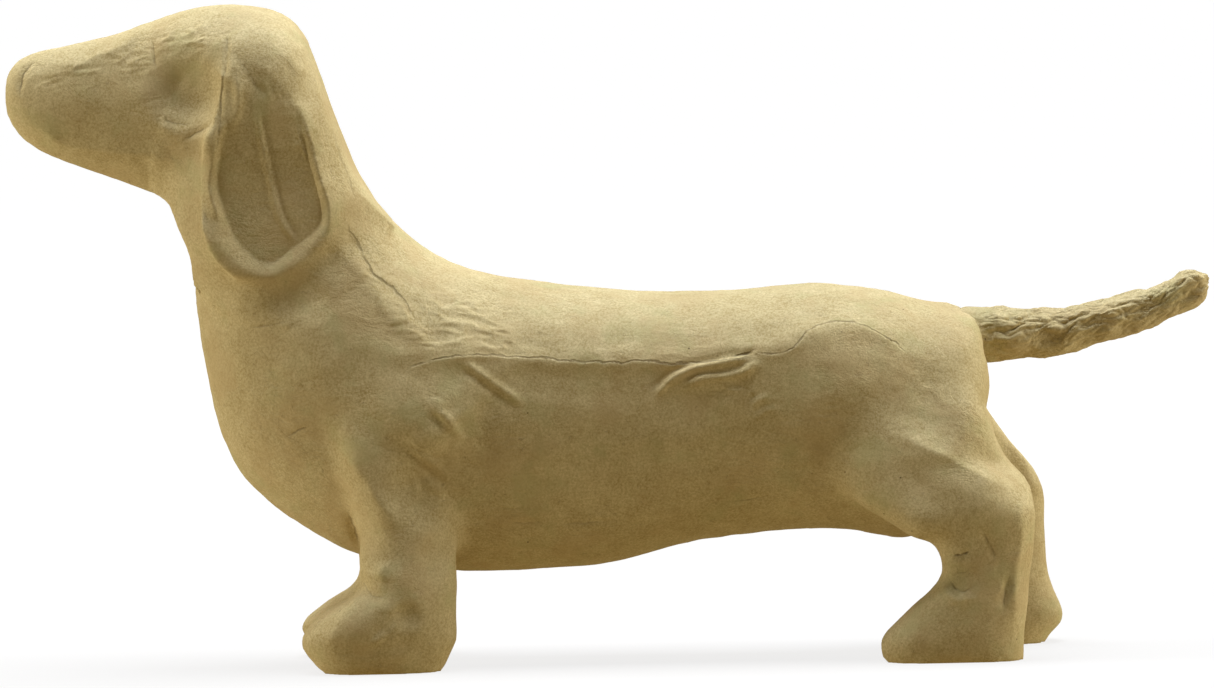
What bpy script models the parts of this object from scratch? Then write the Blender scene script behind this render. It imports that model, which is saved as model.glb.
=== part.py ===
"""Papier-mache dachshund: a moulded body pasted over with kraft paper, and a crumpled paper tail.

The dog faces -X and stands on the floor at Z = 0. Lengths are in metres. The model is drawn from
the line of the front legs at X = 0 and is then moved so that the middle of its box is on the origin.
Outline points are written as shares of the zone that they lie in, such as the back or the head.
"""
import math
from typing import NamedTuple

import bmesh
import bpy
from mathutils import Vector, noise

# Trunk
LEG_SPACING = 0.1461     # front legs' line to the hind legs' line
BACK_HEIGHT = 0.0957     # floor to the hollow of the back
BELLY_HEIGHT = 0.0243    # floor to the belly behind the front legs
TRUNK_WIDTH = 0.062
BREAST_REACH = 0.0545    # front legs' line to the front of the breast

# Neck and head
THROAT_REACH = 0.0605    # front legs' line to the throat
NECK_RISE = 0.0761       # hollow of the back to the crown
NECK_WIDTH = 0.043
HEAD_SETBACK = 0.022     # front legs' line to the nape
HEAD_LENGTH = 0.0812     # nape to nose
HEAD_DEPTH = 0.0488      # crown to jaw
HEAD_WIDTH = 0.046
EYE_RADIUS = 0.009
EYE_DEPTH = 0.0016

# Ears
EAR_LENGTH = 0.054
EAR_WIDTH = 0.029
EAR_THICKNESS = 0.006
EAR_RIM_RADIUS = 0.0017
EAR_SPREAD = 0.045       # outside of one ear to the outside of the other, near the top
EAR_FLARE = 0.003        # how much further out each ear's lower end stands
EAR_TURN = 0.004         # how much further in its back edge lies than its front edge
# An ear's edge as shares of its width and length, from the front of its root round its lower end.
EAR_FRONT_EDGE = ((-0.22, 0.00), (-0.31, 0.22), (-0.40, 0.47), (-0.42, 0.70), (-0.34, 0.88), (-0.12, 1.00))
EAR_BACK_EDGE = ((0.15, 0.98), (0.40, 0.84), (0.62, 0.66), (0.52, 0.45), (0.34, 0.22), (0.20, 0.00))

# Front legs
FRONT_LEG_DEPTH = 0.025  # front to back
FRONT_LEG_WIDTH = 0.022
FRONT_TOE_REACH = 0.0153
FRONT_PAW_HEIGHT = 0.026
FRONT_STANCE = 0.049     # middle of one paw to the middle of the other
FAR_ARM_LEAD = 0.0025    # how much further forward the far front leg stands

# Hind legs
HIND_LEG_DEPTH = 0.021
HIND_LEG_WIDTH = 0.021
HIND_TOE_REACH = 0.0146
HIND_PAW_HEIGHT = 0.026
HIND_STANCE = 0.050
HOCK_HEIGHT = 0.046
THIGH_REACH = 0.042      # hind legs' line to the front of the thigh
FAR_LEG_SETBACK = 0.0046 # how much further back the far hind leg stands
FAR_PAW_SETBACK = 0.0060 # how much further back again its paw points

HAUNCH_PRESS = 0.0030    # how far the plane over the hock is pressed in
HAUNCH_RISE = 0.011      # ridge to the middle of that plane

# Tail
TAIL_DROP = 0.0129       # hollow of the back down to the tail's root
TAIL_REACH = 0.0634      # rump to the tail's tip
TAIL_RISE = 0.0140
TAIL_CURVE = 2.8         # power of its rise: more keeps the root straight and turns up the tip
TAIL_ROOT_DIAMETER = 0.0152
TAIL_TIP_DIAMETER = 0.0092
TAIL_PLUG_DEPTH = 0.010
TAIL_PLUG_DIAMETER = 0.009
TAIL_CRUMPLE = 0.0011
CLEARANCE = 0.0003

# Paper skin
STRIP_RELIEF = 0.0007    # height of a fold in the pasted skin
STRIP_FOLD_WIDTH = 0.0040
VOXEL = 0.0013
FORM_SMOOTH_STEPS = 7    # how far the main forms melt into each other
EAR_SMOOTH_STEPS = 2
BODY_TRIANGLES = 9400

# Fineness of the shells
RING_POINTS = 40
STEPS_BETWEEN_SECTIONS = 5
TUBE_SIDES = 22
TAIL_RINGS = 44

NEAR, FAR = -1, 1        # sides of the dog, the near one at -Y


class Zone(NamedTuple):
    """A corner and two sizes that turn shares into places in the dog's side view."""
    x: float
    z: float
    length: float
    height: float

    def at(self, along, up):
        return Vector((self.x + along * self.length, 0.0, self.z + up * self.height))


class Section(NamedTuple):
    """A ring through a first point, its widest line and a last point, as wide each way as half_width."""
    first: Vector
    widest: Vector
    last: Vector
    half_width: float
    squareness: float = 2.0


BACK = Zone(0.0, 0.0, LEG_SPACING, BACK_HEIGHT)
BELLY = Zone(0.0, 0.0, LEG_SPACING, BELLY_HEIGHT)
BREAST = Zone(0.0, BELLY_HEIGHT, -BREAST_REACH, BACK_HEIGHT - BELLY_HEIGHT)
NECK = Zone(0.0, BACK_HEIGHT, -THROAT_REACH, NECK_RISE)
HEAD = Zone(-HEAD_SETBACK, BACK_HEIGHT + NECK_RISE, -HEAD_LENGTH, -HEAD_DEPTH)
TAIL_AXIS_HEIGHT = BACK_HEIGHT - TAIL_DROP


def clear_scene():
    """Remove what the scene holds."""
    for item in list(bpy.data.objects):
        bpy.data.objects.remove(item, do_unlink=True)


def paper_material(name, colour, roughness):
    """Return a plain paper finish."""
    material = bpy.data.materials.new(name)
    material.use_nodes = True
    shader = material.node_tree.nodes["Principled BSDF"]
    shader.inputs["Base Color"].default_value = (*colour, 1.0)
    shader.inputs["Roughness"].default_value = roughness
    shader.inputs["Metallic"].default_value = 0.0
    return material


def between(values, position):
    """Read a smooth curve through the values, at a position counted in values."""
    last = len(values) - 1
    start = min(int(position), last - 1)
    t = position - start
    before = values[max(start - 1, 0)]
    a, b = values[start], values[start + 1]
    after = values[min(start + 2, last)]
    return 0.5 * (2 * a + (b - before) * t + (2 * before - 5 * a + 4 * b - after) * t ** 2
                  + (3 * a - before - 3 * b + after) * t ** 3)


def smooth_sections(sections):
    """Fill in sections between the given ones, so that a few of them make a smooth form."""
    count = (len(sections) - 1) * STEPS_BETWEEN_SECTIONS
    columns = list(zip(*sections))
    filled = []
    for step in range(count + 1):
        position = step / STEPS_BETWEEN_SECTIONS
        filled.append(Section(*(between(column, position) for column in columns)))
    return filled


def section_ring(section, centre_y):
    """Return the points of one section, a rounded shape that is widest at its widest line."""
    power = 2.0 / section.squareness
    points = []
    for index in range(RING_POINTS):
        angle = 2 * math.pi * index / RING_POINTS
        lengthwise, sideways = math.cos(angle), math.sin(angle)
        end = section.first if lengthwise > 0 else section.last
        point = section.widest.lerp(end, abs(lengthwise) ** power)
        point.y = centre_y + math.copysign(abs(sideways) ** power * section.half_width, sideways)
        points.append(point)
    return points


def add_loft(bm, rings):
    """Add one closed shell that runs through the rings."""
    loops = [[bm.verts.new(point) for point in ring] for ring in rings]
    faces = [bm.faces.new(loops[0]), bm.faces.new(loops[-1])]
    for near_loop, far_loop in zip(loops, loops[1:]):
        for index in range(len(near_loop)):
            following = (index + 1) % len(near_loop)
            faces.append(bm.faces.new((near_loop[index], near_loop[following],
                                       far_loop[following], far_loop[index])))
    bmesh.ops.recalc_face_normals(bm, faces=faces)


def add_body_loft(bm, rungs):
    """Add a shell on the middle plane from rungs of top, bottom, half width and widest share."""
    sections = [Section(top, top.lerp(bottom, widest), bottom, half_width)
                for top, bottom, half_width, widest in rungs]
    add_loft(bm, [section_ring(section, 0.0) for section in smooth_sections(sections)])


def add_trunk_and_neck(bm):
    """Add the trunk, the breast and the neck as one form that turns up at the shoulders."""
    trunk = TRUNK_WIDTH / 2
    neck = NECK_WIDTH / 2
    add_body_loft(bm, (
        (BACK.at(1.018, 0.930), BELLY.at(1.038, 2.95), trunk * 0.47, 0.50),
        (BACK.at(0.976, 0.950), BELLY.at(1.003, 2.37), trunk * 0.71, 0.50),
        (BACK.at(0.92, 0.967), BELLY.at(0.935, 1.63), trunk * 0.86, 0.48),
        (BACK.at(0.85, 0.998), BELLY.at(0.88, 1.26), trunk * 0.93, 0.46),
        (BACK.at(0.73, 1.02), BELLY.at(0.77, 1.35), trunk * 0.95, 0.46),
        (BACK.at(0.60, 1.005), BELLY.at(0.62, 1.33), trunk * 0.92, 0.46),
        (BACK.at(0.48, 1.00), BELLY.at(0.48, 1.21), trunk * 0.90, 0.46),
        (BACK.at(0.365, 1.013), BELLY.at(0.35, 1.02), trunk * 0.91, 0.46),
        (BACK.at(0.27, 1.03), BELLY.at(0.23, 0.98), trunk * 0.94, 0.46),
        (BACK.at(0.185, 1.05), BELLY.at(0.11, 0.98), trunk * 0.97, 0.46),
        (BACK.at(0.125, 1.073), BELLY.at(0.00, 1.03), trunk * 1.00, 0.46),
        (BACK.at(0.075, 1.102), BREAST.at(0.30, 0.075), trunk * 1.00, 0.46),
        (BACK.at(0.03, 1.142), BREAST.at(0.585, 0.202), trunk * 0.97, 0.46),
        (NECK.at(0.02, 0.24), BREAST.at(0.795, 0.352), trunk * 0.92, 0.46),
        (NECK.at(0.09, 0.303), BREAST.at(0.913, 0.545), trunk * 0.85, 0.48),
        (NECK.at(0.143, 0.367), BREAST.at(0.97, 0.75), neck * 1.12, 0.50),
        (NECK.at(0.193, 0.44), BREAST.at(1.00, 0.94), neck * 1.04, 0.50),
        (NECK.at(0.24, 0.527), NECK.at(0.92, 0.15), neck, 0.50),
        (NECK.at(0.285, 0.627), NECK.at(1.005, 0.335), neck * 0.99, 0.50),
        (NECK.at(0.335, 0.747), NECK.at(0.96, 0.52), neck * 0.96, 0.50),
        (NECK.at(0.385, 0.86), NECK.at(0.90, 0.72), neck * 0.80, 0.50)))


def add_head(bm):
    """Add the head, from a blunt nose along the muzzle to the round skull."""
    half = HEAD_WIDTH / 2
    add_body_loft(bm, (
        (HEAD.at(1.005, 0.39), HEAD.at(1.005, 0.49), half * 0.08, 0.50),
        (HEAD.at(0.990, 0.305), HEAD.at(0.988, 0.575), half * 0.23, 0.50),
        (HEAD.at(0.953, 0.235), HEAD.at(0.950, 0.672), half * 0.34, 0.50),
        (HEAD.at(0.895, 0.198), HEAD.at(0.880, 0.747), half * 0.42, 0.52),
        (HEAD.at(0.83, 0.176), HEAD.at(0.79, 0.815), half * 0.49, 0.54),
        (HEAD.at(0.70, 0.136), HEAD.at(0.66, 0.895), half * 0.57, 0.55),
        (HEAD.at(0.57, 0.087), HEAD.at(0.53, 0.98), half * 0.67, 0.54),
        (HEAD.at(0.455, 0.010), HEAD.at(0.415, 1.04), half * 0.80, 0.50),
        (HEAD.at(0.325, -0.032), HEAD.at(0.30, 1.04), half * 0.93, 0.46),
        (HEAD.at(0.195, -0.022), HEAD.at(0.17, 0.98), half * 1.00, 0.44),
        (HEAD.at(0.095, 0.034), HEAD.at(0.05, 0.81), half * 0.92, 0.44),
        (HEAD.at(0.040, 0.130), HEAD.at(0.01, 0.63), half * 0.72, 0.45),
        (HEAD.at(0.014, 0.245), HEAD.at(0.00, 0.45), half * 0.35, 0.50)))


def ear_frame(side):
    """Return a function that sets ear shares on the side of the head and neck."""
    top = HEAD.at(0.21, 0.30)

    def place(along, down, outward=0.0):
        reach = EAR_SPREAD / 2 + EAR_FLARE * down - EAR_TURN * max(along, 0.0) ** 2 + outward
        return Vector((top.x + along * EAR_WIDTH, side * reach, top.z - down * EAR_LENGTH))
    return place


def add_ear(bm, side):
    """Add an ear: a hanging flap with a rolled rim along its front and lower edge."""
    place = ear_frame(side)
    edge = [Vector(point) for point in EAR_FRONT_EDGE + EAR_BACK_EDGE]
    count = len(edge) * STEPS_BETWEEN_SECTIONS
    outline = [between(edge + edge[:1], step / STEPS_BETWEEN_SECTIONS) for step in range(count)]
    flap = [[place(*point, outward) for point in outline] for outward in (-EAR_THICKNESS, 0.0)]
    add_loft(bm, flap)

    rim_path = [Vector(point) for point in EAR_FRONT_EDGE + EAR_BACK_EDGE[:3]]
    steps = (len(rim_path) - 1) * STEPS_BETWEEN_SECTIONS
    centres = [place(*between(rim_path, step / STEPS_BETWEEN_SECTIONS)) for step in range(steps + 1)]
    add_tube(bm, centres, [EAR_RIM_RADIUS] * len(centres))


def add_tube(bm, centres, radii, ripple=None):
    """Add a round shell along the centres, with its skin moved out by the ripple where one is given."""
    rings = []
    for index, (centre, radius) in enumerate(zip(centres, radii)):
        ahead = centres[min(index + 1, len(centres) - 1)]
        behind = centres[max(index - 1, 0)]
        direction = (ahead - behind).normalized()
        up = Vector((0.0, 1.0, 0.0)).cross(direction).normalized()
        if abs(direction.y) > 0.9:
            up = Vector((0.0, 0.0, 1.0))
        across = direction.cross(up).normalized()
        ring = []
        for corner in range(TUBE_SIDES):
            angle = 2 * math.pi * corner / TUBE_SIDES
            reach = radius + (ripple(index, angle) if ripple else 0.0)
            ring.append(centre + reach * (math.cos(angle) * up + math.sin(angle) * across))
        rings.append(ring)
    add_loft(bm, rings)


def add_leg(bm, rows, side):
    """Add a leg from rows of height, front, ridge, back, middle and half width, from the sole up."""
    rings = []
    sections, middles = [], []
    for height, front, ridge, back, middle, half_width, squareness in rows:
        sections.append(Section(Vector((front, 0.0, height)), Vector((ridge, 0.0, height)),
                                Vector((back, 0.0, height)), half_width, squareness))
        middles.append(middle)
    for step, section in enumerate(smooth_sections(sections)):
        rings.append(section_ring(section, side * between(middles, step / STEPS_BETWEEN_SECTIONS)))
    add_loft(bm, rings)


def add_front_leg(bm, side):
    """Add a front leg: a stout post with a ridge down its outer side, over a paw that points ahead."""
    half_depth = FRONT_LEG_DEPTH / 2
    half_width = FRONT_LEG_WIDTH / 2
    stance = FRONT_STANCE / 2
    trunk = TRUNK_WIDTH / 2
    depth_of_trunk = BACK_HEIGHT - BELLY_HEIGHT

    lead = FAR_ARM_LEAD if side == FAR else 0.0

    def paw_row(height, toe, heel, width, squareness):
        front = -half_depth - toe * FRONT_TOE_REACH
        return (height * FRONT_PAW_HEIGHT, front - lead, 0.4 * front - lead, heel * half_depth - lead,
                stance, width * half_width, squareness)

    def arm_row(height, front, ridge, back, inset, width):
        return (BELLY_HEIGHT + height * depth_of_trunk, front * half_depth - lead,
                ridge * half_depth - lead, back * half_depth - lead,
                stance - inset * half_width, width * trunk, 1.8)

    add_leg(bm, (
        paw_row(-0.20, 0.50, 0.60, 0.80, 2.4),
        paw_row(0.08, 0.78, 0.74, 0.98, 2.4),
        paw_row(0.31, 1.02, 0.97, 1.12, 2.3),
        paw_row(0.54, 0.60, 0.95, 1.12, 2.2),
        paw_row(0.77, 0.02, 1.00, 1.06, 2.1),
        paw_row(1.00, 0.00, 1.02, 1.00, 1.9),
        arm_row(0.06, -1.05, -0.10, 1.02, 0.10, 0.35),
        arm_row(0.18, -1.02, -0.15, 1.02, 0.20, 0.37),
        arm_row(0.34, -1.38, -0.55, 0.98, 0.42, 0.42),
        arm_row(0.48, -1.70, -1.00, 0.80, 0.60, 0.44),
        arm_row(0.62, -1.80, -1.20, 0.40, 0.85, 0.44),
        arm_row(0.74, -1.60, -1.15, 0.00, 1.15, 0.34)), side)


def add_hind_leg(bm, side):
    """Add a hind leg: the thigh, a cornered hock and a long foot that slopes down to its toe."""
    half_depth = HIND_LEG_DEPTH / 2
    half_width = HIND_LEG_WIDTH / 2
    stance = HIND_STANCE / 2
    trunk = TRUNK_WIDTH / 2
    above_hock = BACK_HEIGHT - HOCK_HEIGHT
    leg_setback, paw_setback = (FAR_LEG_SETBACK, FAR_PAW_SETBACK) if side == FAR else (0.0, 0.0)

    def paw_row(height, toe, heel, setback, width, squareness):
        line = LEG_SPACING + leg_setback + setback * paw_setback
        return (height * HIND_PAW_HEIGHT, line - half_depth - toe * HIND_TOE_REACH, line - 0.3 * half_depth,
                line + heel * half_depth, stance, width * half_width, squareness)

    def shank_row(height, front, back, width):
        line = LEG_SPACING + leg_setback
        return (height * HOCK_HEIGHT, line + front * half_depth, line,
                line + back * half_depth, stance, width * half_width, 2.5)

    def thigh_row(height, front, ridge, back, setback, inset, width):
        return (HOCK_HEIGHT + height * above_hock, LEG_SPACING - front * THIGH_REACH,
                LEG_SPACING - ridge * THIGH_REACH, LEG_SPACING + setback * leg_setback + back * half_depth,
                stance - inset * half_width, width * trunk, 1.9)

    add_leg(bm, (
        paw_row(-0.20, 0.80, 1.18, 0.30, 0.80, 2.8),
        paw_row(0.06, 0.94, 1.22, 0.62, 0.96, 2.8),
        paw_row(0.22, 0.96, 1.22, 1.37, 1.02, 2.7),
        paw_row(0.40, 0.64, 1.25, 1.13, 1.00, 2.6),
        paw_row(0.58, 0.31, 1.32, 0.67, 0.98, 2.5),
        paw_row(0.80, -0.10, 1.38, 0.35, 0.95, 2.5),
        paw_row(1.00, -0.15, 1.45, 0.17, 0.94, 2.5),
        shank_row(0.72, -1.15, 1.52, 0.98),
        shank_row(0.84, -2.45, 1.56, 1.08),
        thigh_row(0.00, 0.84, 0.14, 1.42, 0.8, 0.30, 0.43),
        thigh_row(0.14, 0.97, 0.38, 0.82, 0.9, 0.62, 0.46),
        thigh_row(0.34, 1.00, 0.55, 0.30, 0.1, 1.00, 0.50),
        thigh_row(0.54, 0.92, 0.60, -0.12, 0.0, 1.22, 0.48),
        thigh_row(0.72, 0.75, 0.60, -0.95, 0.0, 1.50, 0.38)), side)


def fold_paths():
    """Return the folds of the pasted skin that show from a step away, as lists of side-view points."""
    return (
        (BACK.at(-0.01, 0.855), BACK.at(0.10, 0.86), BACK.at(0.26, 0.83), BACK.at(0.40, 0.83),
         BACK.at(0.50, 0.82), BACK.at(0.66, 0.85)),
        (BACK.at(0.66, 0.85), BACK.at(0.71, 0.88), BACK.at(0.78, 0.91), BACK.at(0.86, 0.88)),
        (BACK.at(0.48, 0.77), BACK.at(0.54, 0.78), BACK.at(0.62, 0.81)),
        (BACK.at(0.06, 0.72), BACK.at(0.14, 0.80), BACK.at(0.20, 0.83)),
        (BACK.at(0.04, 0.62), BACK.at(0.10, 0.70), BACK.at(0.14, 0.76)),
        (NECK.at(0.27, 0.20), NECK.at(0.08, 0.00), NECK.at(-0.07, -0.13)),
    )


def distance_to_path(point, path):
    """Return how far a side-view point lies from a path."""
    closest = math.inf
    for start, end in zip(path, path[1:]):
        run = end - start
        share = max(0.0, min(1.0, (point - start).dot(run) / run.length_squared))
        closest = min(closest, (point - start - share * run).length)
    return closest


def raise_folds(bm):
    """Raise the skin along its folds, on both flanks."""
    bm.normal_update()
    paths = fold_paths()
    for vert in bm.verts:
        if abs(vert.normal.y) < 0.2:
            continue
        flat = Vector((vert.co.x, 0.0, vert.co.z))
        nearest = min(distance_to_path(flat, path) for path in paths)
        if nearest < STRIP_FOLD_WIDTH:
            rise = 0.5 + 0.5 * math.cos(math.pi * nearest / STRIP_FOLD_WIDTH)
            vert.co += vert.normal * STRIP_RELIEF * rise


def press_haunches(bm):
    """Press a sloping plane into each haunch, over a ridge that runs from the hock up to the flank."""
    ridge = (BACK.at(1.085, 0.46), BACK.at(1.03, 0.50), BACK.at(0.95, 0.60), BACK.at(0.86, 0.66))
    for vert in bm.verts:
        if abs(vert.co.y) < TRUNK_WIDTH / 4:
            continue
        flat = Vector((vert.co.x, 0.0, vert.co.z))
        start, end = ridge[0], ridge[-1]
        run = end - start
        share = (flat - start).dot(run) / run.length_squared
        above = run.x * (flat.z - start.z) - run.z * (flat.x - start.x)
        distance = distance_to_path(flat, ridge)
        if above > 0 or distance > 2 * HAUNCH_RISE or share > 1.3:
            continue
        depth = math.sin(math.pi * distance / (2 * HAUNCH_RISE)) * min(1.0, (1.3 - share) / 0.7)
        vert.co.y -= math.copysign(HAUNCH_PRESS * depth, vert.co.y)


def sink_eyes(bm):
    """Press a shallow round hollow into each side of the head for the eye."""
    for side in (NEAR, FAR):
        eye = HEAD.at(0.385, 0.42)
        for vert in bm.verts:
            if vert.co.y * side < 0.2 * HEAD_WIDTH:
                continue
            reach = Vector((vert.co.x - eye.x, 0.0, vert.co.z - eye.z)).length
            if reach < EYE_RADIUS:
                vert.co.y -= side * EYE_DEPTH * (0.5 + 0.5 * math.cos(math.pi * reach / EYE_RADIUS))


def make_clay():
    """Return the mesh of the whole body: the main forms smoothed into each other, then the ears."""
    forms = bmesh.new()
    add_trunk_and_neck(forms)
    add_head(forms)
    for side in (NEAR, FAR):
        add_front_leg(forms, side)
        add_hind_leg(forms, side)
    main_forms = join_under_skin(forms, FORM_SMOOTH_STEPS)

    whole = bmesh.new()
    whole.from_mesh(main_forms)
    bpy.data.meshes.remove(main_forms)
    for side in (NEAR, FAR):
        add_ear(whole, side)
    return join_under_skin(whole, EAR_SMOOTH_STEPS)


def join_under_skin(bm, smooth_steps):
    """Return one smooth closed mesh round all the shells of a bmesh, which is used up."""
    mesh = bpy.data.meshes.new("clay")
    bm.to_mesh(mesh)
    bm.free()
    clay = bpy.data.objects.new("clay", mesh)
    bpy.context.collection.objects.link(clay)
    skin = clay.modifiers.new("skin", "REMESH")
    skin.mode = "VOXEL"
    skin.voxel_size = VOXEL
    soften = clay.modifiers.new("soften", "SMOOTH")
    soften.factor = 0.5
    soften.iterations = smooth_steps
    result = evaluated_mesh(clay, "skin")
    bpy.data.objects.remove(clay, do_unlink=True)
    return result


def evaluated_mesh(item, name):
    """Return a copy of an object's mesh with its modifiers applied."""
    bpy.context.view_layer.update()
    evaluated = item.evaluated_get(bpy.context.evaluated_depsgraph_get())
    mesh = bpy.data.meshes.new_from_object(evaluated)
    mesh.name = name
    return mesh


def sole_cutter():
    """Return a block whose top is the floor, which trims all four soles flat."""
    bpy.ops.mesh.primitive_cube_add(size=1.0)
    block = bpy.context.active_object
    block.name = "floor_block"
    length = LEG_SPACING + BREAST_REACH + TAIL_REACH
    depth = BELLY_HEIGHT / 2
    block.scale = (2 * length, 4 * TRUNK_WIDTH, depth)
    block.location = (LEG_SPACING / 2, 0.0, -depth / 2)
    hide_cutter(block)
    return block


def hide_cutter(item):
    """Keep a cutter out of the finished model."""
    item.hide_render = True
    item.display_type = "WIRE"


def tail_centre(share):
    """Return a point of the tail's middle line, straight in its socket and then curving up to the tip."""
    rise = TAIL_RISE * max(share, 0.0) ** TAIL_CURVE
    return Vector((LEG_SPACING + share * TAIL_REACH, 0.0, TAIL_AXIS_HEIGHT + rise))


def tail_profile(extra):
    """Return the tail's centres and radii, from the end of its plug to its round tip."""
    plug_share = TAIL_PLUG_DEPTH / TAIL_REACH
    tip_share = TAIL_TIP_DIAMETER / 2 / TAIL_REACH
    centres, radii = [], []
    for index in range(TAIL_RINGS + 1):
        share = -plug_share + (1.0 + plug_share) * index / TAIL_RINGS
        radius = (TAIL_ROOT_DIAMETER + (TAIL_TIP_DIAMETER - TAIL_ROOT_DIAMETER) * max(share, 0.0)) / 2
        if share < 0.0:
            narrowing = min(1.0, -share / plug_share)
            radius += (TAIL_PLUG_DIAMETER - TAIL_ROOT_DIAMETER) / 2 * narrowing
        if share > 1.0 - tip_share:
            past = (share - 1.0 + tip_share) / tip_share
            radius *= math.sqrt(max(1.0 - past ** 2, 0.04))
        centres.append(tail_centre(share))
        radii.append(radius + extra)
    return centres, radii


def crumple(index, angle):
    """Return how far the crumpled paper stands out at one ring and angle of the tail."""
    free = max(0.0, min(1.0, (index / TAIL_RINGS - 0.2) / 0.06))
    around = Vector((1.5 * math.cos(angle), 1.5 * math.sin(angle), index * 0.22))
    twisted = Vector((3.0 * math.cos(angle), 3.0 * math.sin(angle), index * 0.45 + 7.0))
    return TAIL_CRUMPLE * free * (noise.noise(around) + 0.6 * noise.noise(twisted) - 0.15)


def make_tail(material):
    """Make the tail as one crumpled round piece with a smooth plug at its root."""
    bm = bmesh.new()
    centres, radii = tail_profile(0.0)
    add_tube(bm, centres, radii, crumple)
    return make_object("tail", bm, material)


def tail_socket_cutter():
    """Return the tail's root with the clearance all round, to cut its socket in the rump."""
    bm = bmesh.new()
    centres, radii = tail_profile(CLEARANCE)
    plug = [index for index, centre in enumerate(centres) if centre.x < LEG_SPACING + TAIL_ROOT_DIAMETER]
    first = centres[0] - Vector((CLEARANCE, 0.0, 0.0))
    add_tube(bm, [first] + [centres[index] for index in plug], [radii[0]] + [radii[index] for index in plug])
    cutter = make_object("tail_socket", bm, None)
    hide_cutter(cutter)
    return cutter


def make_object(name, bm, material):
    """Make an object of a finished bmesh."""
    mesh = bpy.data.meshes.new(name)
    bm.to_mesh(mesh)
    bm.free()
    item = bpy.data.objects.new(name, mesh)
    bpy.context.collection.objects.link(item)
    if material:
        mesh.materials.append(material)
    mesh.shade_smooth()
    return item


def make_body(material):
    """Make the body: the joined forms under one paper skin, with flat soles and a socket for the tail."""
    mesh = make_clay()
    bm = bmesh.new()
    bm.from_mesh(mesh)
    bpy.data.meshes.remove(mesh)
    sink_eyes(bm)
    press_haunches(bm)
    raise_folds(bm)
    faces = 2 * len(bm.faces)
    body = make_object("body", bm, material)
    thin = body.modifiers.new("fewer_faces", "DECIMATE")
    thin.ratio = BODY_TRIANGLES / faces
    for name, cutter in (("soles", sole_cutter()), ("socket", tail_socket_cutter())):
        cut = body.modifiers.new(name, "BOOLEAN")
        cut.operation = "DIFFERENCE"
        cut.object = cutter
    return body


def centre_on_origin(items):
    """Hang the pieces on an empty and move it, so that the middle of the dog's box is on the origin."""
    root = bpy.data.objects.new("dachshund", None)
    bpy.context.collection.objects.link(root)
    across = []
    for item in items:
        mesh = evaluated_mesh(item, "measure")
        across += [vert.co.x for vert in mesh.vertices]
        bpy.data.meshes.remove(mesh)
    for item in list(bpy.context.collection.objects):
        if item is not root:
            item.parent = root
    root.location.x = -(min(across) + max(across)) / 2


def main():
    clear_scene()
    skin = paper_material("kraft_paper_skin", (0.50, 0.41, 0.22), 0.9)
    pulp = paper_material("crumpled_paper", (0.40, 0.33, 0.18), 0.95)
    body = make_body(skin)
    tail = make_tail(pulp)
    centre_on_origin((body, tail))


main()
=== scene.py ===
"""Looks of the papier-mache dachshund: its pasted kraft paper skin and its rolled paper tail.

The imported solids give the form. Each is copied, covered with a fine skin, and worked over as the
maker's hands and the torn strips left it: lumps, laps, folds, wrinkles and crumples. Places on the
dog are given in side view, as millimetres along X and up from the floor. Meshes are in metres.
"""
import logging
import math
from dataclasses import dataclass
from enum import Enum
from typing import Any

import bpy
import numpy as np
from mathutils import Matrix, Vector, noise


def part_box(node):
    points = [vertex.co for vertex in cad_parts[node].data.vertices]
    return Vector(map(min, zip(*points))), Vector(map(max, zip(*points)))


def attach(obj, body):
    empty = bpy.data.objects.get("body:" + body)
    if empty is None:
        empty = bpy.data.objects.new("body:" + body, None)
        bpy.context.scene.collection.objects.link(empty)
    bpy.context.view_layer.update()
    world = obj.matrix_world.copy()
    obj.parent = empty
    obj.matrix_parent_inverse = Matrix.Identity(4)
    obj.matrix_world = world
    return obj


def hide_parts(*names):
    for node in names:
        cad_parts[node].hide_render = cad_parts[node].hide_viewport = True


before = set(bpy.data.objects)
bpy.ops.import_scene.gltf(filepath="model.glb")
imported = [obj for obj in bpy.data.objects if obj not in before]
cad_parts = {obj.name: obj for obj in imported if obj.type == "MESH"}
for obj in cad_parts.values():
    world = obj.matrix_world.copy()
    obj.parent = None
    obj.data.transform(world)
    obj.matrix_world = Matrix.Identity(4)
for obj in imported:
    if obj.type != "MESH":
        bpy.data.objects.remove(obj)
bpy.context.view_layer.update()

MM = 0.001
LOG = logging.getLogger("dachshund")

Points = tuple[tuple[float, float], ...]


def linear(code: str) -> tuple[float, float, float, float]:
    """Turn an sRGB hex colour into a linear one.

    Args:
        code: The colour as six hex digits.

    Returns:
        The linear colour with an alpha of 1.
    """
    shares = [int(code[index:index + 2], 16) / 255 for index in (0, 2, 4)]
    return (*(share / 12.92 if share <= 0.04045 else ((share + 0.055) / 1.055) ** 2.4
              for share in shares), 1.0)


def per_metre(size_mm: float) -> float:
    """Return the texture scale at which a pattern repeats about once in size_mm."""
    return 1.0 / (size_mm * MM)


def add_node(tree: bpy.types.NodeTree, kind: str, inputs: dict[Any, Any] | None = None,
             **settings: Any) -> bpy.types.Node:
    """Add a shader node with its settings, its values and its links.

    Args:
        tree: The material's or world's tree.
        kind: The node's type name.
        inputs: For each input, by name or number, a value or the socket that feeds it.
        settings: The node's own properties.

    Returns:
        The new node.
    """
    node = tree.nodes.new(kind)
    for name, value in settings.items():
        setattr(node, name, value)
    for name, value in (inputs or {}).items():
        if isinstance(value, bpy.types.NodeSocket):
            tree.links.new(value, node.inputs[name])
        else:
            node.inputs[name].default_value = value
    return node


def select_only(item: bpy.types.Object) -> None:
    """Make one object the only selected one, and the active one."""
    bpy.ops.object.select_all(action="DESELECT")
    item.select_set(True)
    bpy.context.view_layer.objects.active = item


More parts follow.
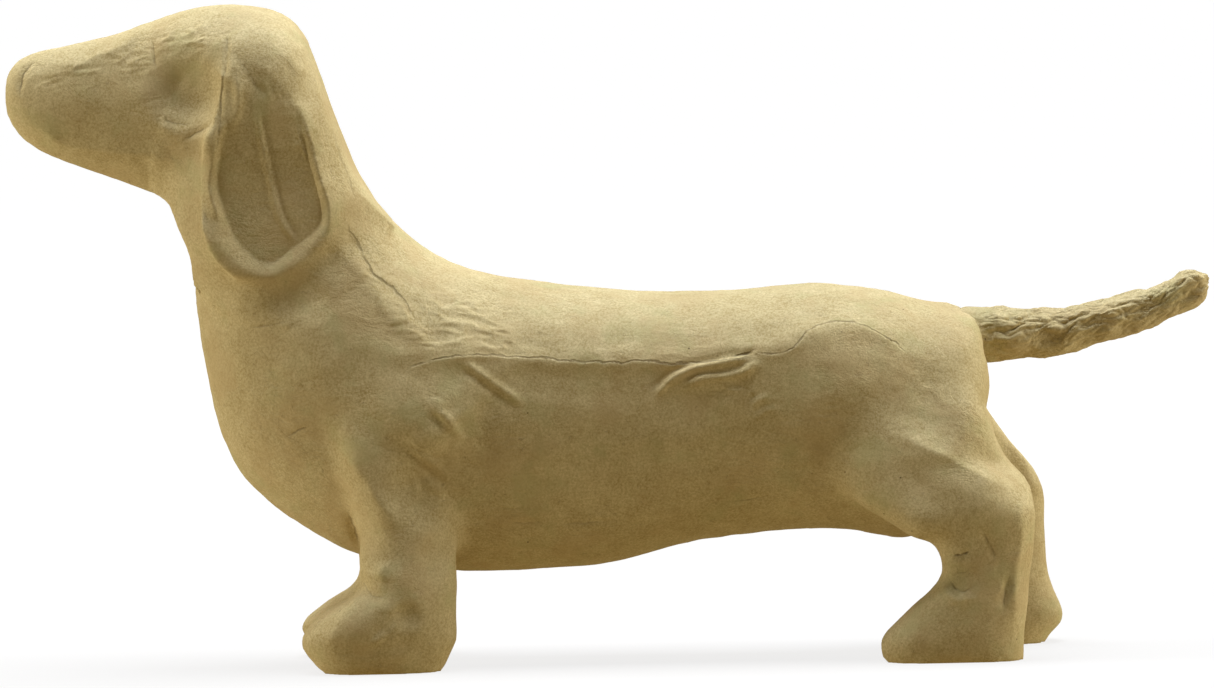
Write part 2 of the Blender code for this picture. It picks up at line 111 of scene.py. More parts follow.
def copy_of_node(node: str, name: str, merge: float = 1e-5) -> bpy.types.Object:
    """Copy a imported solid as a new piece, with its loose triangles merged.

    Args:
        node: The solid's name in the frame.
        name: The new piece's name.
        merge: How close points are to be merged, in metres.

    Returns:
        The new piece, at the origin.
    """
    piece = bpy.data.objects.new(name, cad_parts[node].data.copy())
    bpy.context.scene.collection.objects.link(piece)
    piece.data.name = name
    piece.data.materials.clear()
    select_only(piece)
    bpy.ops.object.mode_set(mode="EDIT")
    bpy.ops.mesh.select_all(action="SELECT")
    bpy.ops.mesh.remove_doubles(threshold=merge)
    bpy.ops.object.mode_set(mode="OBJECT")
    return piece


def apply_modifier(piece: bpy.types.Object, kind: str, **settings: Any) -> None:
    """Add a modifier with its settings and apply it."""
    modifier = piece.modifiers.new(kind.lower(), kind)
    for name, value in settings.items():
        setattr(modifier, name, value)
    select_only(piece)
    bpy.ops.object.modifier_apply(modifier=modifier.name)


def read_skin(mesh: bpy.types.Mesh) -> tuple[np.ndarray, np.ndarray]:
    """Return a mesh's points in millimetres and the directions they face, one row each."""
    places, directions = (np.empty(len(mesh.vertices) * 3) for _ in range(2))
    mesh.vertices.foreach_get("co", places)
    mesh.vertices.foreach_get("normal", directions)
    return places.reshape(-1, 3) / MM, directions.reshape(-1, 3)


def write_skin(mesh: bpy.types.Mesh, solid: np.ndarray) -> None:
    """Move a mesh's points to new places in millimetres."""
    mesh.vertices.foreach_set("co", (solid * MM).ravel())
    mesh.update()


def smooth_step(values: np.ndarray, low: float, high: float) -> np.ndarray:
    """Rise smoothly from 0 at low to 1 at high."""
    share = np.clip((values - low) / (high - low), 0.0, 1.0)
    return share * share * (3.0 - 2.0 * share)


def higher(first: np.ndarray, second: np.ndarray, blend: float | np.ndarray) -> np.ndarray:
    """Return the larger of two values, rounded over where they cross."""
    return 0.5 * (first + second + np.hypot(first - second, blend))


def noise_field(points: np.ndarray, sizes: tuple[float, float, float], octaves: int,
                seed: float) -> np.ndarray:
    """Read fractal noise of about -1 to 1.

    Args:
        points: Places in millimetres, one row each.
        sizes: The size of one lump along each axis, in millimetres.
        octaves: How many finer layers it has.
        seed: Which part of the noise is read.

    Returns:
        One value for each point.
    """
    scaled = points / np.array(sizes) + seed
    return np.array([noise.fractal(Vector(row), 1.0, 2.0, octaves) for row in scaled])


def ridge_field(points: np.ndarray, sizes: tuple[float, float, float], seed: float) -> np.ndarray:
    """Read noise folded into sharp crests, from 0 in the valleys to 1 on the crests."""
    scaled = points / np.array(sizes) + seed
    plain = np.array([noise.noise(Vector(row)) for row in scaled])
    return (1.0 - np.clip(np.abs(plain) * 2.2, 0.0, 1.0)) ** 2


def billow_field(points: np.ndarray, sizes: tuple[float, float, float], seed: float) -> np.ndarray:
    """Read noise folded into round swellings with sharp valleys, from 0 in the valleys to 1."""
    scaled = points / np.array(sizes) + seed
    plain = np.array([noise.noise(Vector(row)) for row in scaled])
    return np.clip(np.abs(plain) * 2.4, 0.0, 1.0) ** 0.75


def smooth_curve(path: Points, step: float = 1.0, closed: bool = False) -> np.ndarray:
    """Return a smooth curve through a path's points.

    Args:
        path: Side-view places in millimetres.
        step: About how far apart the curve's points lie.
        closed: Whether the curve returns to its start.

    Returns:
        The curve's points, one row each.
    """
    points = np.array(path, float)
    if closed:
        padded = np.vstack([points[-1], points, points[:2]])
    else:
        padded = np.vstack([2 * points[0] - points[1], points, 2 * points[-1] - points[-2]])
    curve = []
    for before, start, end, after in zip(padded, padded[1:], padded[2:], padded[3:]):
        count = max(2, int(np.linalg.norm(end - start) / step))
        for share in np.arange(count) / count:
            curve.append(0.5 * (2 * start + (end - before) * share
                                + (2 * before - 5 * start + 4 * end - after) * share ** 2
                                + (3 * start - before - 3 * end + after) * share ** 3))
    return np.array(curve + [padded[-2]])


def measure_curve(curve: np.ndarray, flat: np.ndarray) -> tuple[np.ndarray, np.ndarray, float]:
    """Measure places against a curve.

    Args:
        curve: The curve's points, one row each.
        flat: Side-view places in millimetres.

    Returns:
        How far each place lies to the left of the curve, how far along the curve its nearest point
        is, and the curve's length.
    """
    start, run = curve[:-1], np.diff(curve, axis=0)
    length = np.maximum(np.linalg.norm(run, axis=1), 1e-6)
    offset = flat[:, None, :] - start[None, :, :]
    share = np.clip((offset * run).sum(-1) / length ** 2, 0.0, 1.0)
    gap = np.linalg.norm(offset - share[..., None] * run, axis=-1)
    nearest = gap.argmin(axis=1)
    rows = np.arange(len(flat))
    across = run[nearest, 0] * offset[rows, nearest, 1] - run[nearest, 1] * offset[rows, nearest, 0]
    along = np.concatenate([[0.0], np.cumsum(length)])[nearest] + share[rows, nearest] * length[nearest]
    return np.sign(across) * gap[rows, nearest], along, float(length.sum())


class Side(Enum):
    """A side of the dog, with the sign of its Y."""
    NEAR = -1
    FAR = 1


class FoldKind(Enum):
    """What a line in the paper skin is."""
    RIDGE = "a pinched fold that stands up"
    CREASE = "a pressed line"
    LAP = "the edge of a strip that lies over another"
    EDGE = "an edge where two pressed planes meet"


@dataclass(frozen=True)
class Fold:
    """A line in the paper skin, drawn in side view."""
    kind: FoldKind
    path: Points
    width: float = 1.1
    height: float = 0.4
    # How dark a line is drawn along the fold: a dark joint at a lap, painted shade at a crease
    line_darkness_joints_and_shade: float = 0.0
    waver: float = 0.5

    def near(self, flat: np.ndarray, reach: float) -> np.ndarray:
        """Return the rows of the places within reach of the fold's box."""
        corners = np.array(self.path)
        inside = (flat > corners.min(0) - reach) & (flat < corners.max(0) + reach)
        return np.flatnonzero(inside.all(axis=1))

    def measure(self, flat: np.ndarray) -> tuple[np.ndarray, np.ndarray]:
        """Measure places against the fold.

        Args:
            flat: Side-view places in millimetres.

        Returns:
            How far each lies to the left of the line, and how strong the line is there, which
            fades from 1 to 0 at its ends.
        """
        signed, along, total = measure_curve(smooth_curve(self.path), flat)
        fade = min(14.0 if self.kind is FoldKind.EDGE else 5.0, 0.35 * total)
        return signed, smooth_step(np.minimum(along, total - along), 0.0, fade)

    def relief(self, signed: np.ndarray, strength: np.ndarray) -> np.ndarray:
        """Return how far the skin stands out at each distance from the line, in millimetres."""
        if self.kind is FoldKind.RIDGE:
            crest = np.exp(-(signed / self.width) ** 2)
            foot = 0.45 * np.exp(-((signed - 1.9 * self.width) / self.width) ** 2)
            return strength * self.height * (crest - foot)
        if self.kind is FoldKind.CREASE:
            return -strength * self.height * np.exp(-(signed / self.width) ** 2)
        if self.kind is FoldKind.EDGE:
            away = np.hypot(signed, 0.35) - 0.35
            return strength * self.height * np.exp(-away / self.width)
        over = smooth_step(signed, -0.6 * self.width, 0.6 * self.width)
        return strength * self.height * over * np.exp(-np.clip(signed, 0.0, None) / (6 * self.width))


@dataclass(frozen=True)
class WrinklePatch:
    """A place where the wet paper puckered into small wrinkles."""
    centre: tuple[float, float]
    reach: tuple[float, float]
    angle: float
    spacing: float = 2.2
    height: float = 0.3

    def spread(self, solid: np.ndarray) -> tuple[np.ndarray, np.ndarray]:
        """Return how far each place lies along and across the wrinkles from the patch's centre."""
        turn = math.radians(self.angle)
        away = solid[:, (0, 2)] - np.array(self.centre)
        return (away[:, 0] * math.cos(turn) + away[:, 1] * math.sin(turn),
                away[:, 1] * math.cos(turn) - away[:, 0] * math.sin(turn))

    def mask(self, solid: np.ndarray) -> np.ndarray:
        """Return 1 in the middle of the patch, 0 outside it and shares between them."""
        along, across = self.spread(solid)
        return smooth_step(1.0 - np.hypot(along / self.reach[0], across / self.reach[1]), 0.0, 0.6)

    def relief(self, solid: np.ndarray, seed: float) -> np.ndarray:
        """Return how far the wrinkles stand out at each place, in millimetres."""
        along, across = self.spread(solid)
        mask = self.mask(solid)
        near = mask > 0
        result = np.zeros(len(solid))
        turned = np.stack([along, solid[:, 1], across], axis=1)[near]
        turned[:, 2] += 1.2 * noise_field(turned, (9.0, 9.0, 9.0), 2, seed + 3.1)
        crest = ridge_field(turned, (4.0 * self.spacing, 2.5 * self.spacing, self.spacing), seed)
        broken = smooth_step(noise_field(turned, (6.0, 6.0, 4.0), 1, seed + 5.3), -0.25, 0.2)
        result[near] = self.height * mask[near] * broken * (crest - 0.3)
        return result


@dataclass(frozen=True)
class Hollow:
    """A dent, or with a negative depth a swelling, pressed into one side."""
    centre: tuple[float, float]
    reach: tuple[float, float]
    depth: float
    edge: float = 0.75
    tilt: float = 0.0

    def relief(self, flat: np.ndarray) -> np.ndarray:
        """Return how far the skin moves out at each place, in millimetres."""
        away = (flat - np.array(self.centre)) / np.array(self.reach)
        deep = 1.0 + self.tilt * np.clip(away[:, 1], -1.0, 1.0)
        return -self.depth * deep * smooth_step(1.0 - np.hypot(away[:, 0], away[:, 1]), 0.0, self.edge)


@dataclass(frozen=True)
class Fill:
    """A corner that the paper bridges, as a soft swelling round a place in side view."""
    centre: tuple[float, float]
    reach: tuple[float, float]
    height: float

    def relief(self, solid: np.ndarray) -> np.ndarray:
        """Return how far the skin stands out at each place, in millimetres."""
        away = np.hypot((solid[:, 0] - self.centre[0]) / self.reach[0],
                        (solid[:, 2] - self.centre[1]) / self.reach[1])
        return self.height * np.exp(-away ** 2)


@dataclass(frozen=True)
class EarTray:
    """The hanging ear: a face pressed flat inside a raised rim, which runs out down a ramp."""
    outline: Points
    depth: float = 2.4
    rim_height: float = 0.1
    rim_reach: float = 3.8
    rim_fall: float = 8.0
    rim_top: float = 138.0
    crown: float = 156.0
    crown_width: float = 22.5
    flare: float = 0.07
    ramp_fall: float = 1.15
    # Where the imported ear's outer wall is taken down to the ramp: close to the face, below its top
    wall: tuple[float, float] = (-6.2, -4.4)
    wall_top: tuple[float, float] = (-137.0, -131.0)

    def measure(self, flat: np.ndarray) -> np.ndarray:
        """Return how far each place lies inside the outline, below zero outside it."""
        curve = smooth_curve(self.outline, closed=True)
        signed, _, _ = measure_curve(curve, flat)
        inside = np.zeros(len(flat), bool)
        for start, end in zip(curve, curve[1:]):
            crosses = (start[1] > flat[:, 1]) != (end[1] > flat[:, 1])
            if crosses.any():
                at = start[0] + (flat[:, 1] - start[1]) * (end[0] - start[0]) / (end[1] - start[1])
                inside ^= crosses & (flat[:, 0] < at)
        return np.where(inside, np.abs(signed), -np.abs(signed))

    def reach(self, along: np.ndarray, up: np.ndarray) -> np.ndarray:
        """Return how far the rim's crest lies outside the face, which is less in front and behind."""
        back = smooth_step(along, -86.0, -78.0) * smooth_step(up, 108.0, 118.0)
        front = smooth_step(-along, 94.0, 99.0) * smooth_step(up, 112.0, 122.0)
        return self.rim_reach * (1.0 - 0.65 * np.maximum(back, front))

    def relief(self, inward: np.ndarray, flat: np.ndarray) -> np.ndarray:
        """Return how far the skin moves out at each place, in millimetres."""
        along, up = flat[:, 0], flat[:, 1]
        lower = smooth_step(self.rim_top - up, -12.0, 16.0)
        reach = self.reach(along, up)
        rise = np.clip(-inward / reach, 0.0, 1.0)
        beyond = smooth_step(-inward, reach, reach + self.rim_fall)
        sunk = -self.depth * (0.12 + 0.88 * lower) * (1.0 - rise)
        return sunk + self.rim_height * lower * rise * (1.0 - beyond)

    def run_out(self, across: np.ndarray, inward: np.ndarray, flat: np.ndarray) -> np.ndarray:
        """Lay the skin of the ear level to its rim, and down a ramp to the neck beyond it.

        Args:
            across: How far each place is from the dog's middle plane, in millimetres.
            inward: How far each place lies inside the ear's face.
            flat: Side-view places in millimetres.

        Returns:
            How far each place is from the middle plane afterwards.
        """
        along, up = flat[:, 0], flat[:, 1]
        beyond = -inward - self.reach(along, up)
        ramp = self.crown_width + self.flare * (self.crown - up) - self.ramp_fall * np.clip(beyond, 0.0, None)
        wall = smooth_step(inward, *self.wall) * smooth_step(-up, *self.wall_top)
        level = np.maximum(smooth_step(-beyond, -0.8, 0.8), wall)
        blend = 0.2 + 3.8 * smooth_step(beyond, 0.5, 8.0)
        return level * ramp + (1.0 - level) * higher(across, ramp, blend)


@dataclass(frozen=True)
class KraftPaper:
    """Unbleached kraft paper, torn and pasted: matt, fibrous and blotched where the paste soaked in."""
    name: str
    pale: str
    deep: str
    warm: str
    olive: str
    fibre: str = "5A4626"
    bark: str = "3A2C1A"
    # The dark lines' colour: joints at the strips' laps, and painted shade along creases and in the gap under
    # the tail
    line_colour_joints_and_shade: str = "4E3E22"
    roughness: float = 0.88
    mottle_mm: float = 26.0
    blotch_mm: float = 4.6
    # Real fibres are a few hundredths of a millimetre wide, so the grain is drawn coarser to show
    grain_mm: float = 0.6
    fibre_mm: float = 3.4
    speck_mm: float = 7.0
    strip_mm: float = 38.0
    wrinkle_mm: float = 3.2
    lap_height_mm: float = 0.10
    grain_height_mm: float = 0.05
    wrinkle_height_mm: float = 0.16

    def make(self) -> bpy.types.Material:
        """Make the material.

        Returns:
            A material whose patterns run through the piece in Object coordinates.
        """
        material = bpy.data.materials.new(self.name)
        material.use_nodes = True
        tree = material.node_tree
        tree.nodes.clear()
        place = add_node(tree, "ShaderNodeTexCoord").outputs["Object"]
        torn = self.warp(tree, place)
        colour = self.paper_colour(tree, place, torn)
        height = self.relief(tree, place, torn)
        bump = add_node(tree, "ShaderNodeBump", {"Strength": 1.0, "Distance": 1.0, "Height": height})
        shader = add_node(tree, "ShaderNodeBsdfPrincipled", {
            "Base Color": colour, "Roughness": self.roughness, "IOR": 1.45,
            "Specular IOR Level": 0.1, "Metallic": 0.0, "Normal": bump.outputs["Normal"]})
        add_node(tree, "ShaderNodeOutputMaterial", {"Surface": shader.outputs["BSDF"]})
        return material

    def noise(self, tree: bpy.types.NodeTree, place: bpy.types.NodeSocket, size_mm: float,
              detail: float = 3.0, roughness: float = 0.6) -> bpy.types.NodeSocket:
        """Add noise of a real size and return its value."""
        return add_node(tree, "ShaderNodeTexNoise", {
            "Vector": place, "Scale": per_metre(size_mm), "Detail": detail,
            "Roughness": roughness}).outputs["Fac"]

    def math(self, tree: bpy.types.NodeTree, operation: str, *values: Any) -> bpy.types.NodeSocket:
        """Add a math node that applies the given operation to its values, and return its result."""
        return add_node(tree, "ShaderNodeMath", dict(enumerate(values)),
                        operation=operation).outputs["Value"]

    def band(self, tree: bpy.types.NodeTree, value: bpy.types.NodeSocket, low: float, high: float,
             start: float = 0.0, end: float = 1.0) -> bpy.types.NodeSocket:
        """Map a value's band from low to high smoothly onto start to end."""
        return add_node(tree, "ShaderNodeMapRange", {
            "Value": value, "From Min": low, "From Max": high, "To Min": start, "To Max": end},
            interpolation_type="SMOOTHSTEP").outputs["Result"]

    def mix(self, tree: bpy.types.NodeTree, share: Any, first: Any, second: Any,
            blend: str = "MIX") -> bpy.types.NodeSocket:
        """Mix two colours and return the result."""
        node = add_node(tree, "ShaderNodeMix", {0: share, 6: first, 7: second},
                        data_type="RGBA", blend_type=blend)
        return node.outputs[2]

    def warp(self, tree: bpy.types.NodeTree, place: bpy.types.NodeSocket) -> bpy.types.NodeSocket:
        """Return coordinates that waver as a torn edge does."""
        moved = place
        for size_mm, reach_mm in ((16.0, 9.0), (2.2, 0.9)):
            swirl = add_node(tree, "ShaderNodeTexNoise", {
                "Vector": place, "Scale": per_metre(size_mm), "Detail": 2.0}).outputs["Color"]
            centred = add_node(tree, "ShaderNodeVectorMath", {0: swirl, 1: (0.5, 0.5, 0.5)},
                               operation="SUBTRACT").outputs["Vector"]
            moved = add_node(tree, "ShaderNodeVectorMath", {
                0: centred, 1: (reach_mm * MM,) * 3, 2: moved},
                operation="MULTIPLY_ADD").outputs["Vector"]
        return moved

    def paper_colour(self, tree: bpy.types.NodeTree, place: bpy.types.NodeSocket,
                     torn: bpy.types.NodeSocket) -> bpy.types.NodeSocket:
        """Return the paper's colour: broad mottling, blotches, fibres, specks, and dark lines: joints at the
        strips' laps, and painted shade along creases and in the gap under the tail.
        """
        broad = self.band(tree, self.noise(tree, torn, self.mottle_mm, 3.0), 0.34, 0.66)
        blotch = self.band(tree, self.noise(tree, place, self.blotch_mm, 5.0, 0.7), 0.32, 0.68)
        grain = self.band(tree, self.noise(tree, place, self.grain_mm, 3.0, 0.75), 0.32, 0.68)
        tone = self.math(tree, "MULTIPLY_ADD", broad, 0.16,
                         self.math(tree, "MULTIPLY_ADD", blotch, 0.24,
                                   self.math(tree, "MULTIPLY", grain, 0.60)))
        colour = self.mix(tree, tone, linear(self.deep), linear(self.pale))
        tint = self.band(tree, self.noise(tree, torn, self.mottle_mm * 0.6, 3.0), 0.46, 0.66, 0.0, 0.5)
        colour = self.mix(tree, tint, colour, linear(self.warm))
        green = self.band(tree, self.noise(tree, place, self.mottle_mm * 0.5, 3.0), 0.50, 0.72, 0.0, 0.45)
        colour = self.mix(tree, green, colour, linear(self.olive))
        fibre = self.math(tree, "MULTIPLY", self.fibres(tree, torn), 0.30)
        colour = self.mix(tree, fibre, colour, linear(self.fibre))
        colour = self.mix(tree, self.specks(tree, place), colour, linear(self.bark))
        # Dark lines: lap joints, and painted shade along creases and in the gap under the tail
        return self.mix(tree, self.line_mask_joints_and_shade(tree, place), colour, linear(self.line_colour_joints_and_shade))

    def fibres(self, tree: bpy.types.NodeTree, torn: bpy.types.NodeSocket) -> bpy.types.NodeSocket:
        """Return 1 on short thin curved fibres and 0 between them."""
        level = self.noise(tree, torn, self.fibre_mm, 2.0, 0.5)
        away = self.math(tree, "ABSOLUTE", self.math(tree, "SUBTRACT", level, 0.5))
        line = self.band(tree, away, 0.0, 0.012, 1.0, 0.0)
        short = self.band(tree, self.noise(tree, torn, self.fibre_mm * 0.8, 1.0), 0.55, 0.66)
        return self.math(tree, "MULTIPLY", line, short)

    def specks(self, tree: bpy.types.NodeTree, place: bpy.types.NodeSocket) -> bpy.types.NodeSocket:
        """Return 1 on scattered dark specks of bark, a few tenths of a millimetre across."""
        cells = add_node(tree, "ShaderNodeTexVoronoi", {
            "Vector": place, "Scale": per_metre(self.speck_mm), "Randomness": 1.0})
        dot = self.band(tree, cells.outputs["Distance"], 0.02, 0.05, 0.75, 0.0)
        channels = add_node(tree, "ShaderNodeSeparateColor", {"Color": cells.outputs["Color"]})
        chosen = self.math(tree, "GREATER_THAN", channels.outputs["Red"], 0.55)
        return self.math(tree, "MULTIPLY", dot, chosen)

    def line_mask_joints_and_shade(self, tree: bpy.types.NodeTree, place: bpy.types.NodeSocket) -> bpy.types.NodeSocket:
        """Return how dark the drawn lines are: thin lines that break and waver, dark joints at the strips'
        laps and painted shade along creases and in the gap under the tail.
        """
        offset = add_node(tree, "ShaderNodeAttribute", attribute_name="dark_line_offset").outputs["Fac"]
        line_darkness_joints_and_shade = add_node(tree, "ShaderNodeAttribute", attribute_name="joint_and_shade_line_darkness").outputs["Fac"]
        waver = self.math(tree, "MULTIPLY_ADD", self.noise(tree, place, 2.4, 3.0), 1.3, -0.65)
        away = self.math(tree, "ABSOLUTE", self.math(tree, "ADD", offset, waver))
        line = self.band(tree, away, 0.05, 0.42, 1.0, 0.0)
        broken = self.band(tree, self.noise(tree, place, 5.0, 3.0), 0.36, 0.52, 0.25, 1.0)
        return self.math(tree, "MULTIPLY", self.math(tree, "MULTIPLY", line, broken), line_darkness_joints_and_shade)

    def relief(self, tree: bpy.types.NodeTree, place: bpy.types.NodeSocket,
               torn: bpy.types.NodeSocket) -> bpy.types.NodeSocket:
        """Return the fine relief in metres: laps, wrinkles and grain."""
        cells = add_node(tree, "ShaderNodeTexVoronoi", {
            "Vector": torn, "Scale": per_metre(self.strip_mm), "Randomness": 0.9})
        channels = add_node(tree, "ShaderNodeSeparateColor", {"Color": cells.outputs["Color"]})
        laps = self.math(tree, "MULTIPLY", channels.outputs["Red"], self.lap_height_mm * MM)
        stretched = add_node(tree, "ShaderNodeMapping", {
            "Vector": torn, "Scale": (0.42, 1.0, 1.0), "Rotation": (0.0, 0.3, 0.0)}).outputs["Vector"]
        wave = self.noise(tree, stretched, self.wrinkle_mm, 4.0, 0.62)
        crest = self.math(tree, "ABSOLUTE", self.math(tree, "SUBTRACT", wave, 0.5))
        where = self.band(tree, self.noise(tree, place, 17.0, 2.0), 0.42, 0.66, 0.15, 1.0)
        wrinkles = self.math(tree, "MULTIPLY", self.math(tree, "MULTIPLY", crest, where),
                             -4.0 * self.wrinkle_height_mm * MM)
        grain = self.math(tree, "MULTIPLY", self.noise(tree, place, self.grain_mm * 0.8, 3.0, 0.7),
                          self.grain_height_mm * MM)
        dents = self.math(tree, "MULTIPLY", self.line_mask_joints_and_shade(tree, place), -0.22 * MM)
        total = self.math(tree, "ADD", laps, wrinkles)
        total = self.math(tree, "ADD", total, grain)
        return self.math(tree, "ADD", total, dents)


@dataclass
class Flank:
    """The folds, wrinkles and dents of one side of the dog."""
    side: Side
    folds: tuple[Fold, ...]
    wrinkles: tuple[WrinklePatch, ...]
    hollows: tuple[Hollow, ...]
    ear: EarTray

    def facing(self, solid: np.ndarray, normals: np.ndarray) -> np.ndarray:
        """Return 1 where the skin faces this side and 0 where it faces away."""
        outward = normals[:, 1] * self.side.value
        across = solid[:, 1] * self.side.value
        return smooth_step(outward, 0.02, 0.22) * smooth_step(across, 0.0, 2.0)


# The trunk: the long seam, the seam over the haunch, the two pinched folds and the shoulder's folds
FLANK_FOLDS = (
    Fold(FoldKind.LAP, ((37.9, 79.6), (28.1, 78.5), (19.8, 78.2), (8.2, 78.6), (-5.7, 79.1),
                        (-21.5, 80.7), (-39.5, 81.6), (-50.1, 79.5), (-53.0, 77.8)), 0.6, 0.40, 0.5, 0.9),
    Fold(FoldKind.LAP, ((77.7, 79.4), (72.6, 83.2), (66.2, 86.5), (58.7, 87.8), (52.0, 85.9),
                        (48.5, 82.6), (44.4, 80.5), (36.4, 80.1)), 0.7, 0.30, 0.5),
    Fold(FoldKind.RIDGE, ((10.6, 69.2), (15.6, 74.0), (20.5, 76.2), (26.2, 77.4), (32.2, 78.6),
                          (36.6, 80.0)), 0.85, 0.85, 0.0, 0.3),
    Fold(FoldKind.RIDGE, ((18.2, 72.4), (23.1, 74.1), (28.0, 74.6), (33.7, 75.6), (36.8, 77.4),
                          (38.3, 79.5)), 0.8, 0.75, 0.0, 0.3),
    Fold(FoldKind.CREASE, ((30.5, 79.1), (34.5, 79.9), (38.5, 81.4)), 0.7, 0.5, 0.8),
    Fold(FoldKind.RIDGE, ((29.0, 71.6), (32.8, 71.1), (35.0, 70.9)), 0.7, 0.35),
    Fold(FoldKind.RIDGE, ((35.9, 66.8), (38.0, 68.6), (41.3, 70.0)), 0.7, 0.4),
    Fold(FoldKind.RIDGE, ((36.5, 63.2), (39.5, 65.6), (43.0, 66.4)), 0.7, 0.25),
    Fold(FoldKind.RIDGE, ((-22.0, 68.4), (-32.1, 75.8), (-39.5, 80.9)), 1.0, 0.65),
    Fold(FoldKind.RIDGE, ((-38.1, 60.1), (-41.4, 64.3), (-46.2, 70.4)), 1.2, 0.5),
    Fold(FoldKind.RIDGE, ((-43.6, 51.0), (-47.3, 55.0), (-51.6, 58.8)), 1.1, 0.5),
    Fold(FoldKind.RIDGE, ((-43.2, 44.6), (-45.9, 47.6), (-49.4, 50.6)), 1.0, 0.5),
    Fold(FoldKind.RIDGE, ((-40.6, 63.7), (-42.2, 66.0), (-44.6, 68.0)), 1.0, 0.35),
    Fold(FoldKind.CREASE, ((-14.5, 36.8), (-3.5, 37.4), (4.0, 37.8)), 0.8, 0.16, 0.18),
    Fold(FoldKind.CREASE, ((-29.3, 37.9), (-17.7, 37.2)), 0.8, 0.14, 0.15),
    Fold(FoldKind.CREASE, ((27.6, 41.7), (36.0, 42.2), (43.1, 43.7)), 0.8, 0.16, 0.2),
)
# The neck: a crease on the breast, the seam below the ear, and the creases behind and under it
NECK_FOLDS = (
    Fold(FoldKind.CREASE, ((-84.6, 61.1), (-81.0, 62.9), (-77.6, 64.1)), 0.7, 0.25, 0.4),
    Fold(FoldKind.LAP, ((-68.2, 117.4), (-65.5, 111.9), (-61.0, 103.5), (-56.2, 99.3),
                        (-52.7, 95.1), (-49.1, 90.6)), 0.7, 0.22, 0.3, 1.3),
    Fold(FoldKind.CREASE, ((-71.1, 141.0), (-67.2, 130.0), (-64.8, 121.5)), 1.4, 0.35, 0.25),
    Fold(FoldKind.CREASE, ((-94.5, 89.1), (-88.5, 90.6), (-82.0, 91.2)), 0.8, 0.2, 0.25),
)
# The head: the nose, the jaw's and brow's edges, the creases round the eye, and the ear's folds
HEAD_FOLDS = (
    Fold(FoldKind.CREASE, ((-147.6, 160.2), (-151.0, 157.0), (-152.4, 153.4), (-152.2, 149.3)),
         0.9, 0.45, 0.5),
    Fold(FoldKind.EDGE, ((-153.4, 148.0), (-149.7, 144.0), (-145.1, 140.9), (-141.1, 138.0),
                          (-131.2, 136.4), (-118.3, 134.6), (-106.0, 131.5)), 3.4, 1.2),
    Fold(FoldKind.EDGE, ((-152.0, 158.6), (-145.0, 158.6), (-137.4, 158.4), (-125.9, 162.2),
                          (-119.6, 166.3), (-108.5, 166.8)), 3.4, 1.1),
    Fold(FoldKind.CREASE, ((-97.0, 167.0), (-97.9, 158.7), (-98.6, 152.0), (-99.5, 143.7),
                           (-100.9, 135.0)), 0.7, 0.4, 0.35, 0.6),
    Fold(FoldKind.CREASE, ((-110.4, 138.0), (-104.0, 141.5), (-99.8, 145.0)), 0.9, 0.45, 0.4),
    Fold(FoldKind.CREASE, ((-117.4, 164.6), (-116.9, 161.0), (-116.4, 157.1)), 0.9, 0.35, 0.35),
    Fold(FoldKind.CREASE, ((-115.6, 146.3), (-112.9, 143.0), (-107.0, 142.6)), 1.1, 0.3, 0.25),
    Fold(FoldKind.RIDGE, ((-97.6, 139.5), (-95.3, 145.0), (-94.6, 150.5), (-96.3, 156.0)), 1.1, 0.6),
    Fold(FoldKind.CREASE, ((-96.6, 162.0), (-93.3, 157.6), (-90.3, 152.9), (-88.6, 148.7)), 1.8, 0.6, 0.1),
    Fold(FoldKind.RIDGE, ((-90.4, 146.5), (-88.5, 135.7), (-86.9, 127.4), (-85.0, 119.0),
                          (-80.6, 111.0)), 0.65, 0.6, 0.0, 0.2),
)
